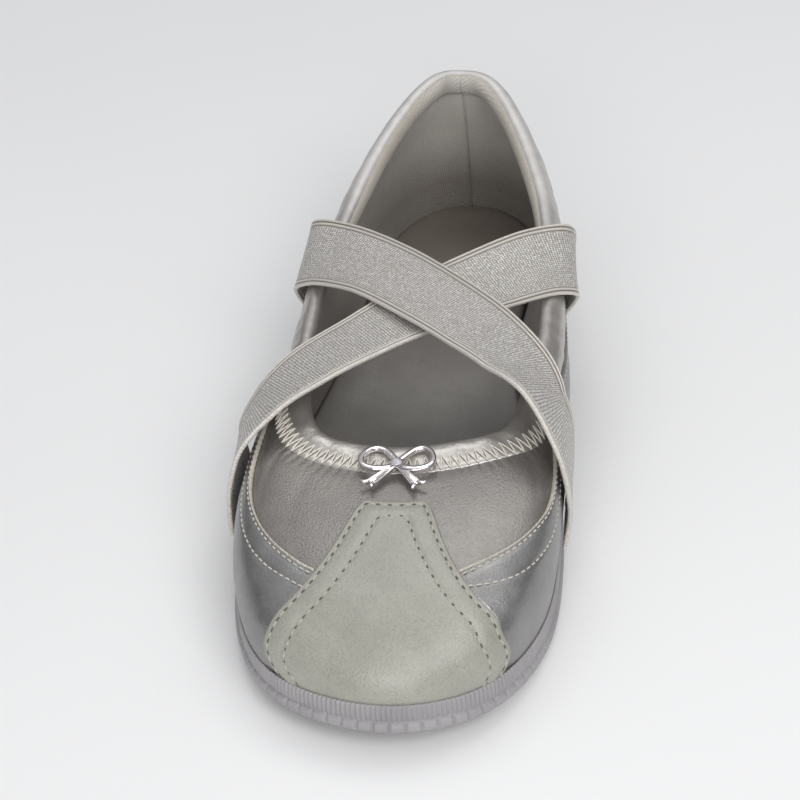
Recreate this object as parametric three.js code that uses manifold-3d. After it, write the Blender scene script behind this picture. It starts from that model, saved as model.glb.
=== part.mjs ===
// A ballet sneaker for the right foot: a soft leather upper with two crossed elastic bands, on a
// rubber cup sole. Millimetres, +Z up, toe towards -Y, heel towards +Y, little-toe side towards -X.
// Every piece of the upper is worked out from one surface, which runs round the last (round 0 at the
// toe tip, 0.25 on the little-toe side, 0.5 at the heel, 0.75 on the big-toe side) and up it
// (up 0 at the sole, up 1 at the topline).
import * as THREE from "three";
import { mergeVertices } from "three/addons/utils/BufferGeometryUtils.js";
import Module from "manifold-3d";

// The last
const SOLE_LENGTH = 246;
const BALL_WIDTH = 87;
const INSTEP_HEIGHT = 36; // topline above the floor at the front of the throat
const HEEL_HEIGHT = 62.5; // topline above the floor at the back of the heel

// The sole
const FOREFOOT_SOLE = 6.5; // floor to foot bed under the ball
const HEEL_SOLE = 10.5; // floor to foot bed under the heel
const TOE_SPRING = 5.5;
const HEEL_SPRING = 1.2;
const ARCH_RISE = 2;
const LIP_RISE = 2.6; // how far the cup's wall rises above the foot bed
const LIP_WALL = 2.2;
const BUMPER_STEP = 0.8; // how far the lower band of the side stands out from the ribbed band
const TREAD_INSET = 1.8; // the tread's edge inside the outline
const GROOVE_DEPTH = 1.6;
const GROOVE_WIDTH = 2.4;
const GROOVE_PITCH = 12;
const GROOVED = [{ from: 0.12, to: 0.44 }, { from: 0.77, to: 0.95 }]; // along the sole
const BLOCK_PITCH = 3.9; // blocks round the toe bumper
const BLOCK_GAP = 0.7;
const BLOCK_NOTCH = 0.7; // depth of the gap between two blocks
const BLOCKS_REACH = 0.13; // round the outline from the toe tip, on each side

// The upper and what is sewn on it
const GAP = 0.3; // clearance between two pieces that touch on the real shoe
const WALL = 2.2;
const RIM_THROAT = 2.4; // thickness of the rim round the throat
const RIM_COLLAR = 4; // thickness of the padded rim at the heel
const OVERLAY = 0.7; // thickness of the leather laid over the upper
const BINDING_DEPTH = 7; // how far the binding reaches down outside
const BINDING_RETURN = 3.2; // and inside
const INSOLE_INSET = 3.4; // from the outside of the upper's foot to the insole's edge
const INSOLE_THICK = 3;
const INSOLE_DISH = 0.8;

// The elastic bands
const BAND_WIDTH = 22;
const BAND_THICK = 1.4;
const BAND_END_CLEAR = 1.2; // from the band's front end down to the sole's lip
const BAND_LIFT = 0.9; // from the flat band to the curved panel under its middle

// The bow charm
const BOW_WIDTH = 20.5;
const WIRE = 1.2; // diameter of the loops' wire
const TAIL_WIDTH = 2.4;
const TAIL_THICK = 0.9;
const CRYSTAL = 2.8; // diameter of the stone
const KNOT = { radius: 1.75, flatness: 0.55, height: 0.8 };

// How finely the surfaces are cut into facets
const FACETS_ROUND = 66;
const FACET_SAG = 0.22; // room for a flat facet to cut under the curve
const BAND_STATIONS = 38;

// Sections round the last. along and topAlong are shares of the sole's length from the toe, edge,
// topAcross, flare and lean shares of the ball's width, climb the topline's share of the way from
// the instep's height to the heel's, rise and drop shares of the wall's own height. edge is the
// sole's outline, flare and rise steer the wall as it leaves the sole, lean and drop as it
// reaches the topline.
const COLUMNS = ["along", "edge", "topAlong", "topAcross", "climb", "flare", "rise", "lean", "drop"];
const SECTIONS = {
  toeTip: [0.0, 0.029, 0.286, 0.008, 0.01, 0.022, 0.65, 0.4, -0.03],
  outerToe: [0.02, -0.193, 0.289, -0.138, 0.01, 0.029, 0.64, 0.38, -0.02],
  littleToe: [0.07, -0.354, 0.304, -0.258, 0.03, 0.036, 0.59, 0.31, 0.02],
  outerVamp: [0.156, -0.46, 0.343, -0.329, 0.09, 0.037, 0.5, 0.2, 0.12],
  outerBall: [0.27, -0.511, 0.412, -0.368, 0.16, 0.038, 0.4, 0.11, 0.22],
  outerInstep: [0.41, -0.49, 0.493, -0.386, 0.21, 0.036, 0.36, 0.06, 0.27],
  outerWaist: [0.565, -0.415, 0.601, -0.388, 0.25, 0.042, 0.36, 0.07, 0.32],
  outerQuarter: [0.722, -0.368, 0.72, -0.362, 0.34, 0.05, 0.39, 0.09, 0.39],
  outerHeel: [0.87, -0.333, 0.848, -0.292, 0.6, 0.056, 0.39, 0.08, 0.42],
  outerCounter: [0.967, -0.205, 0.955, -0.148, 0.92, 0.043, 0.37, 0.07, 0.41],
  heelBack: [1.0, 0.0, 0.971, -0.01, 0.99, 0.029, 0.38, 0.06, 0.42],
  innerCounter: [0.967, 0.208, 0.948, 0.13, 0.92, 0.044, 0.37, 0.08, 0.41],
  innerHeel: [0.87, 0.337, 0.838, 0.277, 0.59, 0.053, 0.39, 0.07, 0.42],
  innerQuarter: [0.722, 0.318, 0.722, 0.357, 0.37, 0.055, 0.38, 0.07, 0.38],
  innerWaist: [0.565, 0.329, 0.598, 0.384, 0.26, 0.056, 0.38, 0.09, 0.35],
  innerInstep: [0.41, 0.43, 0.485, 0.396, 0.21, 0.04, 0.37, 0.1, 0.3],
  innerBall: [0.27, 0.468, 0.398, 0.37, 0.15, 0.028, 0.41, 0.11, 0.22],
  innerVamp: [0.156, 0.453, 0.335, 0.335, 0.08, 0.024, 0.51, 0.18, 0.12],
  bigToe: [0.07, 0.366, 0.308, 0.249, 0.05, 0.03, 0.58, 0.31, 0.02],
  innerToe: [0.02, 0.229, 0.294, 0.137, 0.03, 0.029, 0.62, 0.38, -0.02],
};

// Toe spring, arch and heel along the sole, as shares of its length
const SPRING_END = 0.29;
const ARCH = { start: 0.44, high: 0.53, low: 0.64, end: 0.73 };
const HEEL_LIFT = 0.93;
const BED_RAMP = { start: 0.42, end: 0.78 };

// The sole's side from the tread to the lip: out is mm beyond the outline, up a share of the
// side's height there
const BUMPER_TOP = 0.42;
const SOLE_SIDE = [
  { out: -TREAD_INSET, up: 0 },
  { out: BUMPER_STEP * 0.5, up: 0.1 },
  { out: BUMPER_STEP, up: 0.2 },
  { out: BUMPER_STEP, up: BUMPER_TOP },
  { out: 0, up: 0.48 },
  { out: 0, up: 0.9 },
  { out: -LIP_WALL * 0.25, up: 1 },
];

// The toe overlay: half its width, in rounds, at shares of its height above the lip
const TOE_OVERLAY_TOP = 0.8; // up
const TOE_OVERLAY = [
  { height: 0, half: 0.08 },
  { height: 0.07, half: 0.0865 },
  { height: 0.16, half: 0.089 },
  { height: 0.27, half: 0.084 },
  { height: 0.4, half: 0.067 },
  { height: 0.53, half: 0.052 },
  { height: 0.66, half: 0.0385 },
  { height: 0.81, half: 0.029 },
  { height: 0.925, half: 0.0245 },
  { height: 1, half: 0.021 },
];

// The side panels' upper edge, from the toe overlay to where it meets the binding
const PANEL_EDGE = [
  { round: 0.03, up: 0.53 },
  { round: 0.06, up: 0.555 },
  { round: 0.08, up: 0.572 },
  { round: 0.1, up: 0.6 },
  { round: 0.125, up: 0.662 },
  { round: 0.15, up: 0.715 },
  { round: 0.175, up: 0.755 },
  { round: 0.2, up: 0.79 },
];
const PANEL_MEETS_BINDING = { start: 0.18, end: 0.22 };
// The panel's columns of facets start at the toe overlay's side and have straightened up at
// settled, both in rounds
const PANEL_COLUMNS = { start: 0.086, second: 0.095, third: 0.105, settled: 0.14 };
const PANEL_ROWS = [0, 0.11, 0.24, 0.38, 0.54, 0.7, 0.85, 1];

// The bands. A row lies on the side panel at round and up (up "lip" is just above the sole), or in
// the air at shares of the sole's length, the ball's width and the heel's height. rear is the way
// the band's rear edge points, across, along and up.
const OVER_BAND = [
  { name: "sewn end", round: 0.331, up: 0.5, rear: [0, 0.84, 0.54] },
  { name: "quarter", round: 0.324, up: 0.7, rear: [0.05, 0.83, 0.56] },
  { name: "fold", along: 0.619, across: -0.446, height: 0.738, rear: [0.2, 0.75, 0.63] },
  { name: "rise", along: 0.59, across: -0.345, height: 0.814, rear: [0.45, 0.75, 0.48] },
  { name: "arch", along: 0.536, across: -0.16, height: 0.874, rear: [0.6, 0.75, 0.24] },
  { name: "crossing", along: 0.474, across: 0.03, height: 0.888, rear: [0.66, 0.73, 0.13] },
  { name: "instep", along: 0.42, across: 0.19, height: 0.876, rear: [0.72, 0.69, 0.02] },
  { name: "shoulder", along: 0.37, across: 0.32, height: 0.845, rear: [0.72, 0.65, -0.22] },
  { name: "turn", along: 0.327, across: 0.42, height: 0.775, rear: [0.42, 0.74, -0.52] },
  { name: "side", along: 0.308, across: 0.48, height: 0.61, rear: [0.09, 0.98, -0.2] },
  { name: "panel", round: 0.799, up: 0.38, rear: [-0.04, 1, -0.04] },
  { name: "sole", round: 0.786, up: "lip", rear: [-0.02, 1, 0] },
];
const UNDER_BAND = [
  { name: "sewn end", round: 0.668, up: 0.5, rear: [0.12, 0.86, 0.5] },
  { name: "quarter", round: 0.675, up: 0.7, rear: [0.05, 0.85, 0.53] },
  { name: "fold", along: 0.617, across: 0.45, height: 0.74, rear: [-0.14, 0.79, 0.59] },
  { name: "rise", along: 0.588, across: 0.36, height: 0.8, rear: [-0.41, 0.74, 0.52] },
  { name: "arch", along: 0.535, across: 0.195, height: 0.826, rear: [-0.58, 0.73, 0.35] },
  { name: "crossing", along: 0.474, across: 0, height: 0.828, rear: [-0.65, 0.74, 0.09] },
  { name: "instep", along: 0.429, across: -0.149, height: 0.8, rear: [-0.65, 0.76, -0.07] },
  { name: "shoulder", along: 0.376, across: -0.333, height: 0.74, rear: [-0.59, 0.79, -0.17] },
  { name: "turn", along: 0.34, across: -0.445, height: 0.65, rear: [-0.45, 0.82, -0.34] },
  { name: "side", along: 0.32, across: -0.517, height: 0.52, rear: [-0.2, 0.93, -0.3] },
  { name: "panel", round: 0.2015, up: 0.34, rear: [0.05, 1, -0.06] },
  { name: "sole", round: 0.2115, up: "lip", rear: [0.03, 1, 0] },
];

// The bow lies on the throat's front, its knot this far below the topline
const BOW_BELOW_TOP = 7;
const BOW_ROUND = 0.003;
// One loop and one tail as shares of the bow's width, from the knot; the other side is mirrored
const BOW_LOOP = [
  [0.0, 0.03], [0.15, 0.18], [0.33, 0.26], [0.465, 0.19], [0.485, 0.06], [0.37, -0.06],
  [0.18, -0.08], [0.0, -0.03],
];
const BOW_TAIL = { out: 0.37, down: 0.48, fork: 0.07 };

// The overlay leather's two faces, as offsets from the upper
const OVERLAY_LOW = GAP + FACET_SAG;
const OVERLAY_HIGH = OVERLAY_LOW + OVERLAY;

const wasm = await Module();
wasm.setup();

// Smooth closed curves through the columns of the section table, one value of each at every round
function closedSpline(rows) {
  const count = rows.length;
  const wrap = (i) => (i + count) % count;
  const columns = rows[0].length;
  let slopes = rows.map(() => new Array(columns).fill(0));
  const settle = 40; // sweeps, each four times closer
  for (let sweep = 0; sweep < settle; sweep += 1) {
    slopes = slopes.map((_, i) =>
      rows[i].map((_, k) => {
        const chord = 3 * (rows[wrap(i + 1)][k] - rows[wrap(i - 1)][k]);
        return (chord - slopes[wrap(i - 1)][k] - slopes[wrap(i + 1)][k]) / 4;
      }),
    );
  }
  return (round) => {
    const place = THREE.MathUtils.euclideanModulo(round, 1) * count;
    const i = Math.floor(place) % count;
    const j = wrap(i + 1);
    const s = place - Math.floor(place);
    return rows[i].map(
      (value, k) =>
        (2 * s ** 3 - 3 * s ** 2 + 1) * value +
        (s ** 3 - 2 * s ** 2 + s) * slopes[i][k] +
        (3 * s ** 2 - 2 * s ** 3) * rows[j][k] +
        (s ** 3 - s ** 2) * slopes[j][k],
    );
  };
}

const splineOfSections = closedSpline(Object.values(SECTIONS));

function sectionAt(round) {
  const values = splineOfSections(round);
  return Object.fromEntries(COLUMNS.map((name, k) => [name, values[k]]));
}

// A smooth curve through a short table of two columns
function curveThrough(rows, from, to) {
  const places = rows.map((row) => row[from]);
  const values = rows.map((row) => row[to]);
  const interpolant = new THREE.CubicInterpolant(places, values, 1);
  return (place) => interpolant.evaluate(place)[0];
}

const smooth = THREE.MathUtils.smoothstep;
const lerp = THREE.MathUtils.lerp;
const UP = new THREE.Vector3(0, 0, 1);
const SMALL_STEP = 1e-4;

function toeSpring(along) {
  return TOE_SPRING * Math.max(0, 1 - along / SPRING_END) ** 2;
}

// The underside above the floor: toe spring, raised arch and the heel's rounded back
function groundLine(along) {
  const arch = smooth(along, ARCH.start, ARCH.high) - smooth(along, ARCH.low, ARCH.end);
  const heel = Math.max(0, (along - HEEL_LIFT) / (1 - HEEL_LIFT)) ** 2;
  return toeSpring(along) + ARCH_RISE * arch + HEEL_SPRING * heel;
}

function bedHeight(along) {
  const ramp = smooth(along, BED_RAMP.start, BED_RAMP.end);
  return lerp(FOREFOOT_SOLE, HEEL_SOLE, ramp) + toeSpring(along);
}

// The sole's outline in plan, and the way that points out of it
function outline(round) {
  const { along, edge } = sectionAt(round);
  return new THREE.Vector3(edge * BALL_WIDTH, (along - 0.5) * SOLE_LENGTH, 0);
}

function outward(round) {
  const along = outline(round + SMALL_STEP).sub(outline(round - SMALL_STEP));
  return new THREE.Vector3(along.y, -along.x, 0).normalize().negate();
}

// The outside of the upper
function surface(round, up) {
  const row = sectionAt(round);
  const out = outward(round);
  const bed = bedHeight(row.along);
  const foot = outline(round).addScaledVector(out, -LIP_WALL).addScaledVector(UP, bed + GAP);
  const top = new THREE.Vector3(
    row.topAcross * BALL_WIDTH,
    (row.topAlong - 0.5) * SOLE_LENGTH,
    lerp(INSTEP_HEIGHT, HEEL_HEIGHT, row.climb),
  );
  const wallHeight = top.z - bed;
  const leaving = foot
    .clone()
    .addScaledVector(out, row.flare * BALL_WIDTH)
    .addScaledVector(UP, row.rise * wallHeight);
  const arriving = top
    .clone()
    .addScaledVector(out, row.lean * BALL_WIDTH)
    .addScaledVector(UP, -row.drop * wallHeight);
  return new THREE.CubicBezierCurve3(foot, leaving, arriving, top).getPoint(up);
}

// The directions at a point of the surface: round the shoe, up it and out of it
function directions(round, up) {
  const roundwards = surface(round + SMALL_STEP, up).sub(surface(round - SMALL_STEP, up));
  const low = Math.max(0, up - SMALL_STEP);
  const high = Math.min(1, up + SMALL_STEP);
  const upwards = surface(round, high).sub(surface(round, low));
  const perRound = roundwards.length() / (2 * SMALL_STEP);
  const perUp = upwards.length() / (high - low);
  roundwards.normalize();
  upwards.normalize();
  const out = new THREE.Vector3().crossVectors(upwards, roundwards).normalize();
  return { roundwards, upwards, out, perRound, perUp };
}

function above(round, up, offset) {
  return surface(round, up).addScaledVector(directions(round, up).out, offset);
}

// up at a height above the floor, and up at a distance below the topline
function upAtHeight(round, height) {
  let low = 0;
  let high = 0.5;
  for (let halving = 0; halving < 24; halving += 1) {
    const middle = (low + high) / 2;
    if (surface(round, middle).z < height) low = middle;
    else high = middle;
  }
  return low;
}

function upBelowTop(round, distance) {
  const step = 0.005;
  let up = 1;
  let travelled = 0;
  let from = surface(round, up);
  while (travelled < distance) {
    const to = surface(round, up - step);
    travelled += to.distanceTo(from);
    from = to;
    up -= step;
  }
  return up + ((travelled - distance) / distance) * step;
}

const lipHeight = (round) => bedHeight(sectionAt(round).along) + LIP_RISE;
const aboveLip = (round) => upAtHeight(round, lipHeight(round) + GAP);
const bindingEdge = (round) => upBelowTop(round, BINDING_DEPTH);

// A closed solid from rings of points: each ring joins the next, and the first and last are closed
// by strips across, or join each other when the solid runs round on itself
function solidOfRings(rings, runsRound = false) {
  const count = rings[0].length;
  const positions = rings.flat().flatMap((point) => point.toArray());
  const faces = [];
  const quad = (a, b, c, d) => faces.push(a, b, c, a, c, d);
  const lastRing = runsRound ? rings.length : rings.length - 1;
  for (let k = 0; k < lastRing; k += 1) {
    const here = k * count;
    const next = ((k + 1) % rings.length) * count;
    for (let i = 0; i < count; i += 1) {
      const j = (i + 1) % count;
      quad(here + i, here + j, next + j, next + i);
    }
  }
  if (!runsRound) {
    const end = (rings.length - 1) * count;
    for (let i = 0; i < count / 2 - 1; i += 1) {
      const far = count - 1 - i;
      quad(far, far - 1, i + 1, i);
      quad(end + i, end + i + 1, end + far - 1, end + far);
    }
  }
  const geometry = new THREE.BufferGeometry();
  geometry.setAttribute("position", new THREE.Float32BufferAttribute(positions, 3));
  geometry.setIndex(faces);
  return facingOut(geometry);
}

function facingOut(geometry) {
  const points = geometry.getAttribute("position");
  const index = geometry.getIndex().array;
  const [a, b, c] = [new THREE.Vector3(), new THREE.Vector3(), new THREE.Vector3()];
  let volume = 0;
  for (let i = 0; i < index.length; i += 3) {
    a.fromBufferAttribute(points, index[i]);
    b.fromBufferAttribute(points, index[i + 1]);
    c.fromBufferAttribute(points, index[i + 2]);
    volume += a.dot(b.cross(c));
  }
  if (volume < 0) geometry.setIndex(Array.from(index).reverse());
  return geometry;
}

// The geometry with its normals dropped and equal points made one
function merged(geometry) {
  const bare = geometry.clone();
  bare.deleteAttribute("normal");
  bare.deleteAttribute("uv");
  return mergeVertices(bare, 1e-4);
}

function toManifold(geometry) {
  const closed = merged(geometry);
  const vertProperties = closed.getAttribute("position").array;
  const triVerts = new Uint32Array(closed.getIndex().array);
  return new wasm.Manifold(new wasm.Mesh({ numProp: 3, vertProperties, triVerts }));
}

function toGeometry(solid) {
  const mesh = solid.getMesh();
  const geometry = new THREE.BufferGeometry();
  const positions = new Float32Array(mesh.vertProperties);
  geometry.setAttribute("position", new THREE.BufferAttribute(positions, 3));
  geometry.setIndex(Array.from(mesh.triVerts));
  return geometry;
}

// A patch of leather on the upper: stations of [round, up] points, at two offsets from the surface
function patch(stations, inner, outer) {
  return solidOfRings(
    stations.map((station) => [
      ...station.map(([round, up]) => above(round, up, outer)),
      ...station.map(([round, up]) => above(round, up, inner)).reverse(),
    ]),
  );
}

const rounds = Array.from({ length: FACETS_ROUND }, (_, i) => (i + 0.5) / FACETS_ROUND);
const ringAt = (pointAt) => rounds.map(pointAt);

// Rings drawn in from an edge towards the shoe's middle line, to dish a broad face
function drawnIn(ring, share, lowered) {
  return ring.map((point, i) => {
    const across = ring[ring.length - 1 - i];
    return point.clone().lerp(across, share).addScaledVector(UP, -lowered);
  });
}

// A small box turned to the outline's direction at a round
function boxAtOutline(round, size, offset, height) {
  const out = outward(round);
  const box = new THREE.BoxGeometry(...size);
  const turn = new THREE.Matrix4().makeRotationZ(Math.atan2(out.y, out.x));
  const place = outline(round).addScaledVector(out, offset).addScaledVector(UP, height);
  return box.applyMatrix4(turn.setPosition(place));
}

function treadGrooves() {
  const grooves = [];
  const pitch = GROOVE_PITCH / SOLE_LENGTH;
  for (const { from, to } of GROOVED) {
    for (let along = from; along < to; along += pitch) {
      const box = new THREE.BoxGeometry(2 * BALL_WIDTH, GROOVE_WIDTH, 2 * GROOVE_DEPTH);
      box.translate(0, (along - 0.5) * SOLE_LENGTH, groundLine(along));
      grooves.push(box);
    }
  }
  return grooves;
}

// Notches between the blocks round the toe bumper
function bumperNotches() {
  const notches = [];
  const perRound = outline(SMALL_STEP).distanceTo(outline(-SMALL_STEP)) / (2 * SMALL_STEP);
  const pitch = BLOCK_PITCH / perRound;
  const side = (share, round) => {
    const along = sectionAt(round).along;
    return lerp(groundLine(along), bedHeight(along) + LIP_RISE, share);
  };
  for (let round = pitch / 2; round < BLOCKS_REACH; round += pitch) {
    for (const place of [round, -round]) {
      const low = side(0, place) - GAP;
      const high = side(BUMPER_TOP, place) + GAP;
      const size = [2 * BLOCK_NOTCH, BLOCK_GAP, high - low];
      notches.push(boxAtOutline(place, size, BUMPER_STEP, (low + high) / 2));
    }
  }
  return notches;
}

function makeOutsole() {
  const sidePoint = (round, { out, up }) => {
    const along = sectionAt(round).along;
    const height = lerp(groundLine(along), bedHeight(along) + LIP_RISE, up);
    return outline(round).addScaledVector(outward(round), out).setZ(height);
  };
  const innerWall = (round, share) => {
    const height = lerp(bedHeight(sectionAt(round).along), lipHeight(round), share);
    const up = upAtHeight(round, height);
    return above(round, up, GAP).setZ(height);
  };
  const rings = [
    ...SOLE_SIDE.map((row) => ringAt((round) => sidePoint(round, row))),
    ringAt((round) => innerWall(round, 1)),
    ringAt((round) => innerWall(round, 0.5)),
    ringAt((round) => innerWall(round, 0)),
  ];
  let solid = toManifold(solidOfRings(rings));
  for (const tool of [...treadGrooves(), ...bumperNotches()]) {
    solid = solid.subtract(toManifold(tool));
  }
  return toGeometry(solid);
}

function makeInsole() {
  const edge = (lift) => (round) => {
    const height = bedHeight(sectionAt(round).along) + GAP + lift;
    return surface(round, 0).addScaledVector(outward(round), -INSOLE_INSET).setZ(height);
  };
  const lower = ringAt(edge(0));
  const upper = ringAt(edge(INSOLE_THICK));
  return solidOfRings([
    lower,
    upper,
    drawnIn(upper, 0.12, INSOLE_DISH * 0.6),
    drawnIn(upper, 0.3, INSOLE_DISH),
  ]);
}

// Thickness of the rim at the topline, which is padded where the topline climbs to the heel, and
// of the wall below it
function rimThickness(round) {
  return lerp(RIM_THROAT, RIM_COLLAR, smooth(sectionAt(round).climb, 0.15, 0.5));
}

function wallThickness(round, up) {
  return lerp(WALL, rimThickness(round), smooth(up, 0.6, 1));
}

// A point of the rounded rim: turn 0 is its outside, 1 its inside
function rimPoint(round, turn, grow) {
  const half = rimThickness(round) / 2;
  const { upwards, out } = directions(round, 1);
  const angle = Math.PI * turn;
  return surface(round, 1)
    .addScaledVector(out, -half)
    .addScaledVector(out, Math.cos(angle) * (half + grow))
    .addScaledVector(upwards, Math.sin(angle) * (half + grow));
}

// Rows up the wall, as shares of the height of the binding's edge
const WALL_ROWS = [0, 0.07, 0.14, 0.22, 0.31, 0.41, 0.52, 0.64, 0.76, 0.88, 1];
const INNER_ROWS = [1, 0.72, 0.45, 0.2, 0];
const RIM_TURNS = [0.25, 0.5, 0.75];

function makeUpper() {
  const rings = [];
  for (const share of WALL_ROWS) {
    rings.push(ringAt((round) => above(round, share * bindingEdge(round), 0)));
  }
  for (const share of [0.5, 1]) {
    rings.push(ringAt((round) => surface(round, lerp(bindingEdge(round), 1, share))));
  }
  for (const turn of RIM_TURNS) {
    rings.push(ringAt((round) => rimPoint(round, turn, 0)));
  }
  const inside = (round, up) => above(round, up, -wallThickness(round, up));
  rings.push(ringAt((round) => inside(round, 1)));
  rings.push(ringAt((round) => inside(round, upBelowTop(round, BINDING_RETURN))));
  for (const share of INNER_ROWS) {
    rings.push(ringAt((round) => inside(round, share * bindingEdge(round))));
  }
  return solidOfRings(rings, true);
}

function makeBinding() {
  const outerLeg = (offset, share) =>
    ringAt((round) => above(round, lerp(bindingEdge(round), 1, share), offset));
  const roll = (grow) => RIM_TURNS.map((turn) => ringAt((round) => rimPoint(round, turn, grow)));
  const innerLeg = (offset, share) =>
    ringAt((round) => {
      const up = lerp(1, upBelowTop(round, BINDING_RETURN), share);
      return above(round, up, -wallThickness(round, up) - offset);
    });
  const near = OVERLAY_LOW;
  const far = OVERLAY_HIGH;
  return solidOfRings(
    [
      outerLeg(near, 0),
      outerLeg(far, 0.04),
      outerLeg(far, 0.5),
      outerLeg(far, 1),
      ...roll(far),
      innerLeg(far, 0),
      innerLeg(far, 0.9),
      innerLeg(near, 1),
      innerLeg(near, 0),
      ...roll(near).reverse(),
      outerLeg(near, 1),
      outerLeg(near, 0.5),
    ],
    true,
  );
}

const overlayHalf = curveThrough(TOE_OVERLAY, "height", "half");

function overlayHalfAt(round, up) {
  const low = aboveLip(round);
  return overlayHalf(THREE.MathUtils.clamp((up - low) / (TOE_OVERLAY_TOP - low), 0, 1));
}

function makeToeOverlay() {
  const across = [-1, -0.75, -0.5, -0.25, 0, 0.25, 0.5, 0.75, 1];
  const heights = [0, 0.06, 0.12, 0.18, 0.25, 0.33, 0.41, 0.5, 0.6, 0.7, 0.8, 0.9, 1];
  const stations = heights.map((height) =>
    across.map((share) => {
      const round = share * overlayHalf(height);
      return [round, lerp(aboveLip(round), TOE_OVERLAY_TOP, height)];
    }),
  );
  return patch(stations, OVERLAY_LOW, OVERLAY_HIGH);
}

const panelEdge = curveThrough(PANEL_EDGE, "round", "up");

// The top of a side panel: along its own edge at the vamp, then under the binding's edge
function panelTop(round) {
  const { start, end } = PANEL_MEETS_BINDING;
  const under = upBelowTop(round, BINDING_DEPTH + 2 * GAP);
  const own = Math.min(panelEdge(Math.min(Math.abs(round), end)), under);
  return lerp(own, under, smooth(Math.abs(round), start, end));
}

// side is 1 on the little-toe side, -1 on the big-toe side
function makeSidePanel(side) {
  const { start, second, third, settled } = PANEL_COLUMNS;
  const backSeam = 0.5 - GAP / directions(0.5, 0.5).perRound;
  const facet = 1 / FACETS_ROUND;
  const between = rounds.filter((round) => round > third + facet / 2 && round < backSeam - facet / 2);
  const columns = [start, second, third, ...between, backSeam];
  const stations = columns.map((column) => {
    const pull = Math.max(0, (settled - column) / (settled - start)) ** 2;
    return PANEL_ROWS.map((share) => {
      let round = side * column;
      let up = 0;
      for (let pass = 0; pass < 6; pass += 1) {
        up = lerp(aboveLip(round), panelTop(round), share);
        const edge = overlayHalfAt(round, up) + (2 * GAP) / directions(round, up).perRound;
        round = side * (column + (edge - start) * pull);
      }
      return [round, up];
    });
  });
  return patch(stations, OVERLAY_LOW, OVERLAY_HIGH);
}

// An elastic band: a flat strip with softened edges, swept along its rows
function makeBand(rows) {
  const lift = OVERLAY_HIGH + BAND_LIFT + BAND_THICK / 2;
  const centre = ({ round, up, along, across, height }) => {
    if (round === undefined) {
      return new THREE.Vector3(
        across * BALL_WIDTH,
        (along - 0.5) * SOLE_LENGTH,
        height * HEEL_HEIGHT,
      );
    }
    const end = () => upAtHeight(round, lipHeight(round) + BAND_END_CLEAR);
    return above(round, up === "lip" ? end() : up, lift);
  };
  const path = new THREE.CatmullRomCurve3(rows.map(centre));
  const rears = new THREE.CatmullRomCurve3(rows.map((row) => new THREE.Vector3(...row.rear)));
  const half = BAND_WIDTH / 2;
  const thin = BAND_THICK / 2;
  const section = [
    [half - thin / 2, thin],
    [half, thin / 2],
    [half, -thin / 2],
    [half - thin / 2, -thin],
    [-half + thin / 2, -thin],
    [-half, -thin / 2],
    [-half, thin / 2],
    [-half + thin / 2, thin],
  ];
  const rings = [];
  for (let k = 0; k <= BAND_STATIONS; k += 1) {
    const share = k / BAND_STATIONS;
    const tangent = path.getTangent(share);
    const rear = rears.getPoint(share).projectOnPlane(tangent).normalize();
    const face = new THREE.Vector3().crossVectors(tangent, rear);
    const middle = path.getPoint(share);
    rings.push(
      section.map(([width, depth]) =>
        middle.clone().addScaledVector(rear, width).addScaledVector(face, depth),
      ),
    );
  }
  return solidOfRings(rings);
}

// Bends a flat piece onto the throat's front: x runs across, y towards the topline, z out
function layOnThroat(geometry) {
  const up = upBelowTop(BOW_ROUND, BOW_BELOW_TOP);
  const { perRound, perUp } = directions(BOW_ROUND, up);
  const points = geometry.getAttribute("position");
  const lift = OVERLAY_HIGH + GAP;
  for (let i = 0; i < points.count; i += 1) {
    const round = BOW_ROUND - points.getX(i) / perRound;
    const height = Math.min(1, up + points.getY(i) / perUp);
    const place = above(round, height, lift + points.getZ(i));
    points.setXYZ(i, place.x, place.y, place.z);
  }
  return geometry;
}

function bowLoop(side) {
  const points = BOW_LOOP.map(
    ([x, y]) => new THREE.Vector3(side * x * BOW_WIDTH, y * BOW_WIDTH, WIRE / 2),
  );
  const wire = new THREE.Shape().absarc(0, 0, WIRE / 2, 0, 2 * Math.PI);
  const extrudePath = new THREE.CatmullRomCurve3(points);
  return new THREE.ExtrudeGeometry(wire, { steps: 12, curveSegments: 3, extrudePath });
}

function bowTail(side) {
  const { out, down, fork } = BOW_TAIL;
  const end = new THREE.Vector2(side * out, -down).multiplyScalar(BOW_WIDTH);
  const along = end.clone().normalize();
  const aside = new THREE.Vector2(-along.y, along.x).multiplyScalar(TAIL_WIDTH / 2);
  const notch = end.clone().addScaledVector(along, -fork * BOW_WIDTH);
  const outline = [
    aside.clone().multiplyScalar(0.4),
    end.clone().add(aside),
    notch,
    end.clone().sub(aside),
    aside.clone().multiplyScalar(-0.4),
  ];
  const shape = new THREE.Shape(outline);
  return new THREE.ExtrudeGeometry(shape, { depth: TAIL_THICK, steps: 1, bevelEnabled: false });
}

function makeBow() {
  const knot = new THREE.SphereGeometry(KNOT.radius, 8, 5).scale(1, 1, KNOT.flatness);
  knot.translate(0, 0, KNOT.height);
  let solid = toManifold(knot);
  for (const side of [1, -1]) {
    solid = solid.add(toManifold(bowLoop(side))).add(toManifold(bowTail(side)));
  }
  return layOnThroat(toGeometry(solid));
}

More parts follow.
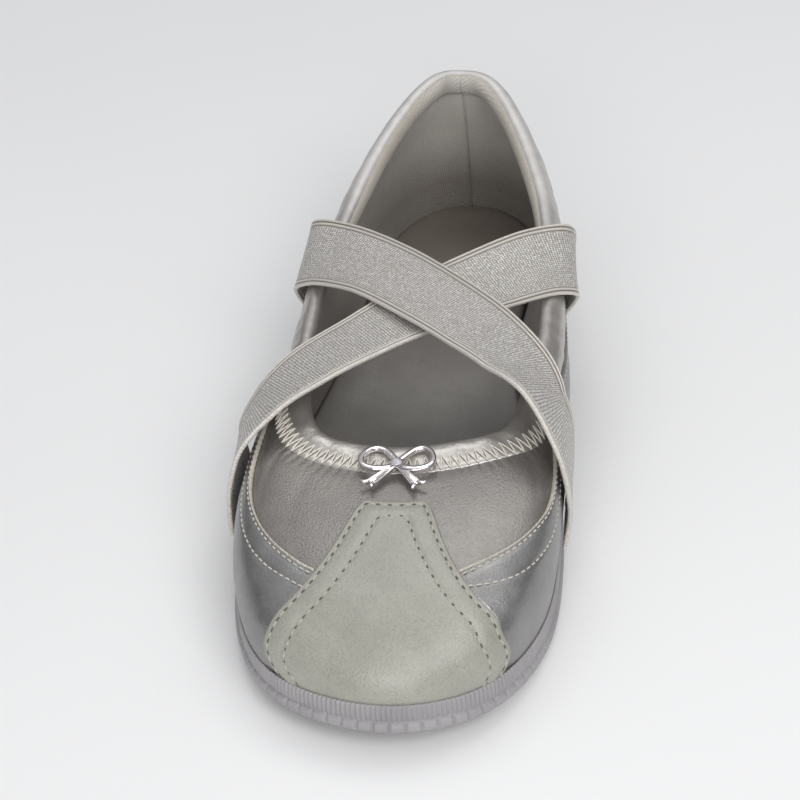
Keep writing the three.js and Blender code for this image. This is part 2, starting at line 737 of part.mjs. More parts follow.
// A cut stone with a flat table, just above the knot
function makeCrystal() {
  const stone = new THREE.LatheGeometry(
    [
      new THREE.Vector2(0, 0),
      new THREE.Vector2(CRYSTAL * 0.36, 0),
      new THREE.Vector2(CRYSTAL * 0.5, CRYSTAL * 0.14),
      new THREE.Vector2(CRYSTAL * 0.3, CRYSTAL * 0.34),
      new THREE.Vector2(0, CRYSTAL * 0.34),
    ],
    8,
  );
  const knotTop = KNOT.height + KNOT.radius * KNOT.flatness;
  stone.rotateX(Math.PI / 2).translate(0, 0, knotTop + GAP);
  return facingOut(layOnThroat(merged(stone)));
}

const LOOKS = {
  rubber: { color: 0x9a969c, roughness: 0.6, metalness: 0 },
  lining: { color: 0x8f8a84, roughness: 0.7, metalness: 0 },
  leather: { color: 0x9c9894, roughness: 0.4, metalness: 0.3 },
  sage: { color: 0xa3a397, roughness: 0.5, metalness: 0.1 },
  elastic: { color: 0xb0aba6, roughness: 0.6, metalness: 0.3 },
  metal: { color: 0xd8d0d0, roughness: 0.15, metalness: 1 },
  stone: { color: 0xf2eef2, roughness: 0.05, metalness: 0 },
};

const shoe = new THREE.Group();

function addPiece(name, geometry, look) {
  const mesh = new THREE.Mesh(geometry, new THREE.MeshStandardMaterial(LOOKS[look]));
  mesh.name = name;
  shoe.add(mesh);
}

addPiece("outsole", makeOutsole(), "rubber");
addPiece("insole", makeInsole(), "lining");
addPiece("upper", makeUpper(), "leather");
addPiece("toe_overlay", makeToeOverlay(), "sage");
addPiece("side_panel_outer", makeSidePanel(1), "leather");
addPiece("side_panel_inner", makeSidePanel(-1), "leather");
addPiece("topline_binding", makeBinding(), "leather");
addPiece("strap_over", makeBand(OVER_BAND), "elastic");
addPiece("strap_under", makeBand(UNDER_BAND), "elastic");
addPiece("bow", makeBow(), "metal");
addPiece("bow_crystal", makeCrystal(), "stone");

// The origin is on the floor, under the middle of the shoe's box
const box = new THREE.Box3().setFromObject(shoe);
const middle = box.getCenter(new THREE.Vector3());
shoe.position.set(-middle.x, -middle.y, -box.min.z);

export default shoe;
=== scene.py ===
"""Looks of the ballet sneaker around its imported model: leather, elastic, rubber, thread and charm.

Shapes are worked out in millimetres from the last's own surface, as in the CAD source. That surface
runs round the shoe (round 0 at the toe tip, 0.25 on the little-toe side, 0.5 at the heel, 0.75 or
-0.25 on the big-toe side) and up it (up 0 at the sole, up 1 at the topline).
"""
import math

import bpy
import numpy as np
from mathutils import Matrix, Vector


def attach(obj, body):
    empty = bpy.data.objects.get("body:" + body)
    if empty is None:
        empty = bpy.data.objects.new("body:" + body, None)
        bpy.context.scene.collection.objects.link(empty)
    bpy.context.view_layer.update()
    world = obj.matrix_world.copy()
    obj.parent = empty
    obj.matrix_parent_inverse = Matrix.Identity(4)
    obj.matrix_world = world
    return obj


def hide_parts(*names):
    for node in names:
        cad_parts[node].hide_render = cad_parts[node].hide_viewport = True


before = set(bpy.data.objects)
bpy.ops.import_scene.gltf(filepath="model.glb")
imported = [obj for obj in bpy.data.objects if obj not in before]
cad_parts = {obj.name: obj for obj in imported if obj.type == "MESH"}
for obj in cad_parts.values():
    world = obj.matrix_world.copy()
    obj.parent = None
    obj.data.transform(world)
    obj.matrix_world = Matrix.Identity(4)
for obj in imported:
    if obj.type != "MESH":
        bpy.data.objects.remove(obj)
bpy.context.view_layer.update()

MM = 0.001
# From the last's middle line to the model's origin
SHIFT = np.array([1.7896, 0.0291, 0.0])

# The last and the sole
SOLE_LENGTH = 246.0
BALL_WIDTH = 87.0
INSTEP_HEIGHT = 36.0
HEEL_HEIGHT = 62.5
FOREFOOT_SOLE = 6.5
HEEL_SOLE = 10.5
TOE_SPRING = 5.5
HEEL_SPRING = 1.2
ARCH_RISE = 2.0
LIP_RISE = 2.6
LIP_WALL = 2.2
BUMPER_STEP = 0.8
TREAD_INSET = 1.8
GROOVE_DEPTH = 1.6
GROOVE_WIDTH = 2.4
GROOVE_PITCH = 12.0
GROOVED = ((0.12, 0.44), (0.77, 0.95))
BLOCK_PITCH = 3.9
BLOCK_GAP = 0.55
BLOCK_NOTCH = 0.7
BLOCKS_REACH = 0.13
GAP = 0.3
WALL = 2.2
RIM_THROAT = 2.4
RIM_COLLAR = 4.0
LINING_DROP = 50.0  # down the wall, for its weave alone
OVERLAY_HIGH = 1.22
BINDING_DEPTH = 7.0
TUCK = 1.0
INSOLE_INSET = 3.4
INSOLE_THICK = 3.0
INSOLE_DISH = 0.8
SPRING_END = 0.29
ARCH = (0.44, 0.53, 0.64, 0.73)
HEEL_LIFT = 0.93
BED_RAMP = (0.42, 0.78)

# Sections round the last, from the toe tip round the little-toe side: shares of its sizes
COLUMNS = ("along", "edge", "top_along", "top_across", "climb", "flare", "rise", "lean", "drop")
SECTIONS = {
    "toe_tip": (0.0, 0.029, 0.286, 0.008, 0.01, 0.022, 0.65, 0.4, -0.03),
    "outer_toe": (0.02, -0.193, 0.289, -0.138, 0.01, 0.029, 0.64, 0.38, -0.02),
    "little_toe": (0.07, -0.354, 0.304, -0.258, 0.03, 0.036, 0.59, 0.31, 0.02),
    "outer_vamp": (0.156, -0.46, 0.343, -0.329, 0.09, 0.037, 0.5, 0.2, 0.12),
    "outer_ball": (0.27, -0.511, 0.412, -0.368, 0.16, 0.038, 0.4, 0.11, 0.22),
    "outer_instep": (0.41, -0.49, 0.493, -0.386, 0.21, 0.036, 0.36, 0.06, 0.27),
    "outer_waist": (0.565, -0.415, 0.601, -0.388, 0.25, 0.042, 0.36, 0.07, 0.32),
    "outer_quarter": (0.722, -0.368, 0.72, -0.362, 0.34, 0.05, 0.39, 0.09, 0.39),
    "outer_heel": (0.87, -0.333, 0.848, -0.292, 0.6, 0.056, 0.39, 0.08, 0.42),
    "outer_counter": (0.967, -0.205, 0.955, -0.148, 0.92, 0.043, 0.37, 0.07, 0.41),
    "heel_back": (1.0, 0.0, 0.971, -0.01, 0.99, 0.029, 0.38, 0.06, 0.42),
    "inner_counter": (0.967, 0.208, 0.948, 0.13, 0.92, 0.044, 0.37, 0.08, 0.41),
    "inner_heel": (0.87, 0.337, 0.838, 0.277, 0.59, 0.053, 0.39, 0.07, 0.42),
    "inner_quarter": (0.722, 0.318, 0.722, 0.357, 0.37, 0.055, 0.38, 0.07, 0.38),
    "inner_waist": (0.565, 0.329, 0.598, 0.384, 0.26, 0.056, 0.38, 0.09, 0.35),
    "inner_instep": (0.41, 0.43, 0.485, 0.396, 0.21, 0.04, 0.37, 0.1, 0.3),
    "inner_ball": (0.27, 0.468, 0.398, 0.37, 0.15, 0.028, 0.41, 0.11, 0.22),
    "inner_vamp": (0.156, 0.453, 0.335, 0.335, 0.08, 0.024, 0.51, 0.18, 0.12),
    "big_toe": (0.07, 0.366, 0.308, 0.249, 0.05, 0.03, 0.58, 0.31, 0.02),
    "inner_toe": (0.02, 0.229, 0.294, 0.137, 0.03, 0.029, 0.62, 0.38, -0.02),
}

# The upper's leather: where it stops below the topline, and how deep it goes
VAMP_BELOW_TOP = 1.5
VAMP_THICK = 1.2

# Toe overlay: its two sides in rounds, from the lip (height 0) to its top (height 1)
CAP_TOP = 0.8
CAP_HEIGHT = (0.0, 0.04, 0.1, 0.17, 0.28, 0.41, 0.52, 0.655, 0.79, 0.9, 1.0)
CAP_OUTER = (0.072, 0.077, 0.083, 0.0845, 0.0775, 0.0655, 0.053, 0.0405, 0.0315, 0.0265, 0.0225)
CAP_INNER = (-0.095, -0.098, -0.1, -0.097, -0.085, -0.0715, -0.056, -0.0415, -0.0315, -0.0258,
             -0.022)
CAP_MARGIN = 1.5  # edge to the outer stitch row
CAP_SECOND = 6.0  # edge to the inner stitch row
CAP_SECOND_TOP = 5.2
CAP_SLOPE = 0.86  # the sides run aslant to the rows of the overlay's grid
CAP_BULGE = 0.0036  # how far its top edge bows up in the middle
CAP_STITCH_PITCH = 3.0
STITCH_TROUGH = 0.2  # how deep a stitch row pulls the leather in
CAP_TROUGH = 0.22  # the same for the overlay's outer row
CAP_PLUMP = 0.22  # the padding's swell between its two rows
CAP_PLUMP_AT = 4.2

# Side panels: upper edge and second stitch row, on the little-toe side and the big-toe side
PANEL_EDGE = {
    1: ((0.03, 0.528), (0.045, 0.538), (0.06, 0.557), (0.08, 0.585), (0.1, 0.617), (0.125, 0.662),
        (0.15, 0.713), (0.175, 0.755), (0.2, 0.79)),
    -1: ((0.03, 0.53), (0.045, 0.546), (0.06, 0.557), (0.08, 0.568), (0.1, 0.583), (0.125, 0.605),
         (0.146, 0.65), (0.175, 0.74), (0.2, 0.79)),
}
PANEL_SECOND = {
    1: ((0.044, 0.463), (0.054, 0.472), (0.074, 0.483), (0.094, 0.5), (0.111, 0.525), (0.14, 0.585),
        (0.17, 0.655), (0.2, 0.7), (0.23, 0.72)),
    -1: ((0.044, 0.486), (0.064, 0.467), (0.086, 0.452), (0.111, 0.456), (0.136, 0.48),
         (0.16, 0.56), (0.2, 0.68), (0.23, 0.72)),
}
PANEL_MEETS_BINDING = (0.18, 0.22)
PANEL_MARGIN = 1.3  # edge to the first stitch row
HEEL_MARGIN = 2.2  # heel seam to the stitch row beside it
COLLAR_ROW = 9.0  # below the topline
RAW_EDGE_LIFT = 0.75
RAW_EDGE_WIDE = 0.42
RAW_EDGE_DEEP = 0.62
PANEL_START = 0.086
PANEL_SETTLED = 0.14

# The elastic bands, as in the CAD source
BAND_WIDTH = 22.0
BAND_THICK = 1.4
BAND_END_CLEAR = 1.2
BAND_LIFT = 0.9
BANDS = {
    "strap_over": (
        {"round": 0.331, "up": 0.5, "rear": (0, 0.84, 0.54)},
        {"round": 0.324, "up": 0.7, "rear": (0.05, 0.83, 0.56)},
        {"at": (0.619, -0.446, 0.738), "rear": (0.2, 0.75, 0.63)},
        {"at": (0.59, -0.345, 0.814), "rear": (0.45, 0.75, 0.48)},
        {"at": (0.536, -0.16, 0.874), "rear": (0.6, 0.75, 0.24)},
        {"at": (0.474, 0.03, 0.888), "rear": (0.66, 0.73, 0.13)},
        {"at": (0.42, 0.19, 0.876), "rear": (0.72, 0.69, 0.02)},
        {"at": (0.37, 0.32, 0.845), "rear": (0.72, 0.65, -0.22)},
        {"at": (0.327, 0.42, 0.775), "rear": (0.42, 0.74, -0.52)},
        {"at": (0.308, 0.48, 0.61), "rear": (0.09, 0.98, -0.2)},
        {"round": 0.799, "up": 0.38, "rear": (-0.04, 1, -0.04)},
        {"round": 0.786, "up": "lip", "rear": (-0.02, 1, 0)},
    ),
    "strap_under": (
        {"round": 0.668, "up": 0.5, "rear": (0.12, 0.86, 0.5)},
        {"round": 0.675, "up": 0.7, "rear": (0.05, 0.85, 0.53)},
        {"at": (0.617, 0.45, 0.74), "rear": (-0.14, 0.79, 0.59)},
        {"at": (0.588, 0.36, 0.8), "rear": (-0.41, 0.74, 0.52)},
        {"at": (0.535, 0.195, 0.826), "rear": (-0.58, 0.73, 0.35)},
        {"at": (0.474, 0.0, 0.828), "rear": (-0.65, 0.74, 0.09)},
        {"at": (0.429, -0.149, 0.8), "rear": (-0.65, 0.76, -0.07)},
        {"at": (0.376, -0.333, 0.74), "rear": (-0.59, 0.79, -0.17)},
        {"at": (0.34, -0.445, 0.65), "rear": (-0.45, 0.82, -0.34)},
        {"at": (0.32, -0.517, 0.52), "rear": (-0.2, 0.93, -0.3)},
        {"round": 0.2015, "up": 0.34, "rear": (0.05, 1, -0.06)},
        {"round": 0.2115, "up": "lip", "rear": (0.03, 1, 0)},
    ),
}

# The bow charm
BOW_WIDTH = 20.5
BOW_BELOW_TOP = 7.0
BOW_ROUND = 0.003
WIRE_WIDE = 1.8
WIRE_DEEP = 1.4
BOW_LOOP = ((0.0, 0.02), (0.1, 0.14), (0.24, 0.245), (0.38, 0.255), (0.468, 0.16), (0.475, 0.01),
            (0.4, -0.105), (0.25, -0.14), (0.1, -0.1), (0.0, -0.04))
PRONG = 1.0
TAIL_LENGTH = 10.4
TAIL_WAY = (0.33, -0.54)
TAIL_HALF = (0.65, 1.25)  # half width at the knot and at the end
CRYSTAL = 2.8
CRYSTAL_DROP = 1.7  # below the knot's middle

# Thread
STITCH_PITCH = 2.6
STITCH_LENGTH = 2.0
ZIGZAG_PITCH = 2.3
ZIGZAG_HIGH = 3.2  # below the topline
ZIGZAG_LOW = 8.6
ZIGZAG_ON_BINDING = 1.06  # height of its upper turns above the last's surface
ZIGZAG_ON_VAMP = 0.2
ZIGZAG_THICK = 0.44
ZIGZAG_REACH = 0.2
THROAT_UP = 0.94  # the line along which the throat's length is measured

# The photograph's camera, in the last's own place, and how much closer the one shoe is framed
CAMERA_AT = np.array([65.83, -436.54, 324.87])
CAMERA_YAW = math.radians(-3.01)
CAMERA_DOWN = math.radians(35.11)
PHOTO_FOCAL = 1502.75  # pixels
PHOTO_SIZE = 800
SHOE_MIDDLE = (256.0, 399.5)  # of the left shoe in the photograph, in pixels
CLOSER = 1.25
SENSOR = 36.0


# The last's surface


def closed_spline(rows):
    """Smooth closed curves through the table's columns."""
    rows = np.array(rows, float)
    count = len(rows)
    system = 4 * np.eye(count) + np.roll(np.eye(count), 1, 0) + np.roll(np.eye(count), -1, 0)
    slopes = np.linalg.solve(system, 3 * (np.roll(rows, -1, 0) - np.roll(rows, 1, 0)))

    def at(place):
        place = np.mod(place, 1.0) * count
        i = np.floor(place).astype(int) % count
        j = (i + 1) % count
        s = (place - np.floor(place))[..., None]
        return (
            (2 * s**3 - 3 * s**2 + 1) * rows[i]
            + (s**3 - 2 * s**2 + s) * slopes[i]
            + (3 * s**2 - 2 * s**3) * rows[j]
            + (s**3 - s**2) * slopes[j]
        )

    return at


spline_of_sections = closed_spline(list(SECTIONS.values()))


def section_at(place):
    values = spline_of_sections(np.asarray(place, float))
    return {name: values[..., k] for k, name in enumerate(COLUMNS)}


def smooth(value, low, high):
    share = np.clip((value - low) / (high - low), 0, 1)
    return share * share * (3 - 2 * share)


def lerp(a, b, share):
    return a + (b - a) * share


def bump(distance, width):
    """1 at no distance, falling away over the width."""
    return np.exp(-((distance / width) ** 2))


def toe_spring(along):
    return TOE_SPRING * np.maximum(0, 1 - along / SPRING_END) ** 2


def ground_line(along):
    arch = smooth(along, ARCH[0], ARCH[1]) - smooth(along, ARCH[2], ARCH[3])
    heel = np.maximum(0, (along - HEEL_LIFT) / (1 - HEEL_LIFT)) ** 2
    return toe_spring(along) + ARCH_RISE * arch + HEEL_SPRING * heel


def bed_height(along):
    return lerp(FOREFOOT_SOLE, HEEL_SOLE, smooth(along, *BED_RAMP)) + toe_spring(along)


def outline(place):
    row = section_at(place)
    x = row["edge"] * BALL_WIDTH
    y = (row["along"] - 0.5) * SOLE_LENGTH
    return np.stack([x, y, np.zeros_like(x)], -1)


def outward(place):
    step = 1e-4
    along = outline(place + step) - outline(place - step)
    out = np.stack([-along[..., 1], along[..., 0], np.zeros_like(along[..., 0])], -1)
    return out / np.linalg.norm(out, axis=-1, keepdims=True)


def up_vector(height):
    height = np.asarray(height, float)
    return np.stack([np.zeros_like(height), np.zeros_like(height), height], -1)


def surface(place, up):
    place, up = np.broadcast_arrays(np.asarray(place, float), np.asarray(up, float))
    row = section_at(place)
    out = outward(place)
    bed = bed_height(row["along"])
    foot = outline(place) - out * LIP_WALL + up_vector(bed + GAP)
    top = np.stack(
        [
            row["top_across"] * BALL_WIDTH,
            (row["top_along"] - 0.5) * SOLE_LENGTH,
            lerp(INSTEP_HEIGHT, HEEL_HEIGHT, row["climb"]),
        ],
        -1,
    )
    high = top[..., 2] - bed
    leaving = foot + out * (row["flare"] * BALL_WIDTH)[..., None] + up_vector(row["rise"] * high)
    arriving = top + out * (row["lean"] * BALL_WIDTH)[..., None] - up_vector(row["drop"] * high)
    t = up[..., None]
    return (
        (1 - t) ** 3 * foot
        + 3 * (1 - t) ** 2 * t * leaving
        + 3 * (1 - t) * t**2 * arriving
        + t**3 * top
    )


def directions(place, up):
    """Unit vectors round, up and out of the surface, and millimetres per round and per up."""
    step = 1e-4
    place, up = np.broadcast_arrays(np.asarray(place, float), np.asarray(up, float))
    roundwards = surface(place + step, up) - surface(place - step, up)
    low = np.maximum(0, up - step)
    high = np.minimum(1, up + step)
    upwards = surface(place, high) - surface(place, low)
    per_round = np.linalg.norm(roundwards, axis=-1) / (2 * step)
    per_up = np.linalg.norm(upwards, axis=-1) / (high - low)
    roundwards = roundwards / np.linalg.norm(roundwards, axis=-1, keepdims=True)
    upwards = upwards / np.linalg.norm(upwards, axis=-1, keepdims=True)
    out = np.cross(upwards, roundwards)
    return roundwards, upwards, out / np.linalg.norm(out, axis=-1, keepdims=True), per_round, per_up


def above(place, up, offset):
    out = directions(place, up)[2]
    return surface(place, up) + out * np.asarray(offset, float)[..., None]


def up_at_height(place, height):
    low = np.zeros_like(np.asarray(place, float))
    high = low + 0.5
    for _ in range(24):
        middle = (low + high) / 2
        under = surface(place, middle)[..., 2] < height
        low = np.where(under, middle, low)
        high = np.where(under, high, middle)
    return low


def up_below_top(place, distance):
    """Where the surface is a distance below the topline, worked out once per place."""
    place = np.asarray(place, float)
    shape = np.broadcast(place, distance).shape
    places = np.broadcast_to(place, shape).ravel()
    distances = np.broadcast_to(distance, shape).ravel()
    known, where = np.unique(np.round(places, 7), return_inverse=True)
    ups = np.linspace(1, 0.5, 101)
    track = surface(known[:, None], ups[None, :])
    steps = np.linalg.norm(np.diff(track, axis=1), axis=-1)
    travelled = np.concatenate([np.zeros((len(known), 1)), np.cumsum(steps, 1)], 1)
    found = np.empty(len(places))
    for k in range(len(known)):
        mine = where == k
        found[mine] = np.interp(distances[mine], travelled[k], ups)
    return found.reshape(shape)


def lip_height(place):
    return bed_height(section_at(place)["along"]) + LIP_RISE


def below_lip(place):
    """The leather's lower edge, tucked in behind the sole's lip."""
    return up_at_height(place, lip_height(place) - TUCK)


def rim_thickness(place):
    return lerp(RIM_THROAT, RIM_COLLAR, smooth(section_at(place)["climb"], 0.15, 0.5))


def wall_thickness(place, up):
    return lerp(WALL, rim_thickness(place), smooth(up, 0.6, 1))


def even_rounds(count, start=0.0, turns=1.0):
    """Rounds spaced evenly along the outline, and their distances along it."""
    fine = np.linspace(start, start + turns, 4001)
    track = outline(fine)
    travelled = np.concatenate([[0], np.cumsum(np.linalg.norm(np.diff(track, axis=0), axis=1))])
    places = np.linspace(0, travelled[-1], count)
    return np.interp(places, travelled, fine), places


def curve_through(rows):
    """A smooth function through a short table of places and values."""
    places = np.array([row[0] for row in rows])
    values = np.array([row[1] for row in rows])
    slopes = np.gradient(values, places)

    def at(place):
        place = np.clip(place, places[0], places[-1])
        i = np.clip(np.searchsorted(places, place, side="right") - 1, 0, len(places) - 2)
        width = places[i + 1] - places[i]
        s = (place - places[i]) / width
        return (
            (2 * s**3 - 3 * s**2 + 1) * values[i]
            + (s**3 - 2 * s**2 + s) * slopes[i] * width
            + (3 * s**2 - 2 * s**3) * values[i + 1]
            + (s**3 - s**2) * slopes[i + 1] * width
        )

    return at


# Creases in the leather

# Each runs from one place to another: round, up, round, up, half width and depth in millimetres,
# negative where the leather is pulled in
CREASES = (
    (0.118, 0.9, 0.1, 0.68, 3.2, -0.16),
    (0.14, 0.9, 0.13, 0.76, 3.0, 0.12),
    (0.07, 0.86, 0.066, 0.7, 3.4, -0.1),
    (0.05, 0.44, 0.075, 0.36, 1.8, -0.14),
    (0.056, 0.38, 0.083, 0.28, 1.7, -0.14),
    (0.062, 0.5, 0.09, 0.43, 2.0, -0.14),
    (0.075, 0.25, 0.1, 0.18, 1.8, -0.1),
    (-0.12, 0.88, -0.108, 0.68, 3.6, -0.14),
    (-0.15, 0.86, -0.14, 0.6, 3.4, 0.12),
    (-0.058, 0.46, -0.085, 0.38, 2.0, -0.12),
    (-0.07, 0.36, -0.1, 0.26, 1.9, -0.12),
    (0.26, 0.78, 0.285, 0.5, 6.0, -0.4),
    (0.3, 0.8, 0.3, 0.52, 5.0, 0.3),
    (0.36, 0.7, 0.38, 0.35, 6.0, -0.35),
    (0.42, 0.6, 0.44, 0.3, 5.0, -0.25),
    (-0.27, 0.78, -0.29, 0.48, 6.0, -0.4),
    (-0.32, 0.76, -0.31, 0.5, 5.2, 0.3),
    (-0.37, 0.7, -0.39, 0.34, 6.0, -0.35),
    (-0.43, 0.62, -0.44, 0.3, 5.0, -0.25),
)
# Millimetres in one round and in one up: round the ball, at the heel's seam and at the throat
MM_PER_ROUND = 600.0
MM_PER_UP = 70.0
HEEL_MM_PER_ROUND = 560.0
THROAT_MM_PER_UP = 75.0


def creases(place, up):
    place, up = np.broadcast_arrays(np.asarray(place, float), np.asarray(up, float))
    total = np.zeros(place.shape)
    for from_round, from_up, to_round, to_up, width, depth in CREASES:
        x = (np.mod(place - from_round + 0.5, 1) - 0.5) * MM_PER_ROUND
        y = (up - from_up) * MM_PER_UP
        run = np.array([(to_round - from_round) * MM_PER_ROUND, (to_up - from_up) * MM_PER_UP])
        length = np.hypot(*run)
        share = (x * run[0] + y * run[1]) / length**2
        held = np.clip(share, 0, 1)
        apart = np.hypot(x - held * run[0], y - held * run[1])
        total += depth * bump(apart, width) * (0.55 + 0.45 * np.cos(math.pi * (held - 0.5)))
    return total


# Meshes


def signed_volume(points, faces):
    a, b, c, d = (points[faces[:, k]] for k in range(4))
    first = np.einsum("ij,ij->i", a, np.cross(b, c))
    return (first + np.einsum("ij,ij->i", a, np.cross(c, d))).sum()


def finish_mesh(name, points, faces, material, uv=None, attributes=None):
    """A smooth-shaded object on the shoe's body, its faces turned outwards."""
    faces = np.asarray(faces)
    if signed_volume(points, faces) < 0:
        faces = faces[:, ::-1]
    mesh = bpy.data.meshes.new(name)
    mesh.from_pydata(((points + SHIFT) * MM).tolist(), [], faces.tolist())
    if uv is not None:
        layer = mesh.uv_layers.new(name="cloth")
        corners = np.empty(len(mesh.loops), np.int32)
        mesh.loops.foreach_get("vertex_index", corners)
        layer.data.foreach_set("uv", (uv[corners] * MM).ravel())
    for key, values in (attributes or {}).items():
        layer = mesh.attributes.new(key, "FLOAT", "POINT")
        layer.data.foreach_set("value", np.asarray(values, np.float32).ravel())
    mesh.validate()
    mesh.shade_smooth()
    mesh.materials.append(material)
    piece = bpy.data.objects.new(name, mesh)
    bpy.context.scene.collection.objects.link(piece)
    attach(piece, "root")
    return piece


def quads(index):
    corners = (index[:-1, :-1], index[:-1, 1:], index[1:, 1:], index[1:, :-1])
    return np.stack([corner.ravel() for corner in corners], -1)


def shell(name, outer, inner, material, wrap=False, uv=None, attributes=None):
    """A closed skin between two grids of points, which may run round the shoe."""
    rows, columns = outer.shape[:2]
    index = np.arange(rows * columns).reshape(rows, columns)
    if wrap:
        index = np.concatenate([index, index[:, :1]], 1)
    under = index + rows * columns
    faces = [quads(index), quads(under)[:, ::-1]]
    faces.append(quads(np.stack([under[0], index[0]])))
    faces.append(quads(np.stack([index[-1], under[-1]])))
    if not wrap:
        faces.append(quads(np.stack([index[:, 0], under[:, 0]])))
        faces.append(quads(np.stack([under[:, -1], index[:, -1]])))
    points = np.concatenate([outer.reshape(-1, 3), inner.reshape(-1, 3)])
    if uv is not None:
        uv = np.concatenate([uv.reshape(-1, 2)] * 2)
    attributes = {k: np.concatenate([v.ravel()] * 2) for k, v in (attributes or {}).items()}
    return finish_mesh(name, points, np.concatenate(faces), material, uv, attributes)


def ring_tube(name, rings, material, uv=None, attributes=None, ends=False):
    """Rings of points joined into a tube: closed on itself, or with its two ends shut."""
    rings = np.asarray(rings)
    count, around = rings.shape[:2]
    index = np.arange(count * around).reshape(count, around)
    index = np.concatenate([index, index[:, :1]], 1)
    if not ends:
        index = np.concatenate([index, index[:1]], 0)
    faces = [quads(index)]
    points = rings.reshape(-1, 3)
    if ends:
        half = around // 2
        for k, turn in ((0, 1), (count - 1, -1)):
            ring = np.arange(k * around, (k + 1) * around)
            strip = np.stack([ring[:half], ring[::-1][:half]])
            faces.append(quads(strip)[:, ::turn])
    return finish_mesh(name, points, np.concatenate(faces), material, uv, attributes)


def many(name, template, faces, places, along, normal, material):
    """Copies of a small closed shape, each turned to its own direction, as one object."""
    aside = np.cross(normal, along)
    axes = np.stack([along, aside, normal], 1)
    points = places[:, None] + np.einsum("vk,nkj->nvj", template, axes)
    start = np.arange(len(places))[:, None, None] * len(template)
    joined = (faces[None] + start).reshape(-1, 4)
    return finish_mesh(name, points.reshape(-1, 3), joined, material)


def bead(length, width, height, sink, rings=7, around=8):
    """A rounded thread: its middle stands up and its two ends dip into the leather."""
    shares = np.linspace(-1, 1, rings)
    points = []
    for share in shares:
        thick = math.sqrt(max(0.0, 1 - abs(share) ** 3)) * 0.94 + 0.06
        for k in range(around):
            angle = 2 * math.pi * k / around
            points.append(
                (
                    share * length / 2,
                    math.cos(angle) * thick * width / 2,
                    math.sin(angle) * thick * height / 2 - sink * share**2,
                )
            )
    index = np.arange(rings * around).reshape(rings, around)
    index = np.concatenate([index, index[:, :1]], 1)
    faces = [quads(index)]
    half = around // 2
    for k, turn in ((0, 1), (rings - 1, -1)):
        ring = np.arange(k * around, (k + 1) * around)
        faces.append(quads(np.stack([ring[:half], ring[::-1][:half]]))[:, ::turn])
    return np.array(points), np.concatenate(faces)


def unit(vectors):
    return vectors / np.linalg.norm(vectors, axis=-1, keepdims=True)


def stitched(name, lines, offset, material, pitch=STITCH_PITCH, length=STITCH_LENGTH,
             thick=0.5, rise=0.12, start=0.5):
    """Rows of stitches along lines of (round, up) points that lie offset above the surface."""
    places, along, normal = [], [], []
    for line in lines:
        line = np.array(line)
        track = above(line[:, 0], line[:, 1], offset)
        out = directions(line[:, 0], line[:, 1])[2]
        travelled = np.concatenate([[0], np.cumsum(np.linalg.norm(np.diff(track, axis=0), axis=1))])
        middles = np.arange(pitch * start, travelled[-1] - pitch / 2, pitch)
        at = np.stack([np.interp(middles, travelled, track[:, k]) for k in range(3)], -1)
        ahead = np.stack([np.interp(middles + 0.5, travelled, track[:, k]) for k in range(3)], -1)
        behind = np.stack([np.interp(middles - 0.5, travelled, track[:, k]) for k in range(3)], -1)
        outs = np.stack([np.interp(middles, travelled, out[:, k]) for k in range(3)], -1)
        run = unit(ahead - behind)
        outs = unit(outs - run * (outs * run).sum(-1, keepdims=True))
        places.append(at + outs * rise)
        along.append(run)
        normal.append(outs)
    template, faces = bead(length, thick, thick, thick * 0.7)
    return many(name, template, faces, np.concatenate(places), np.concatenate(along),
                np.concatenate(normal), material)


# Materials


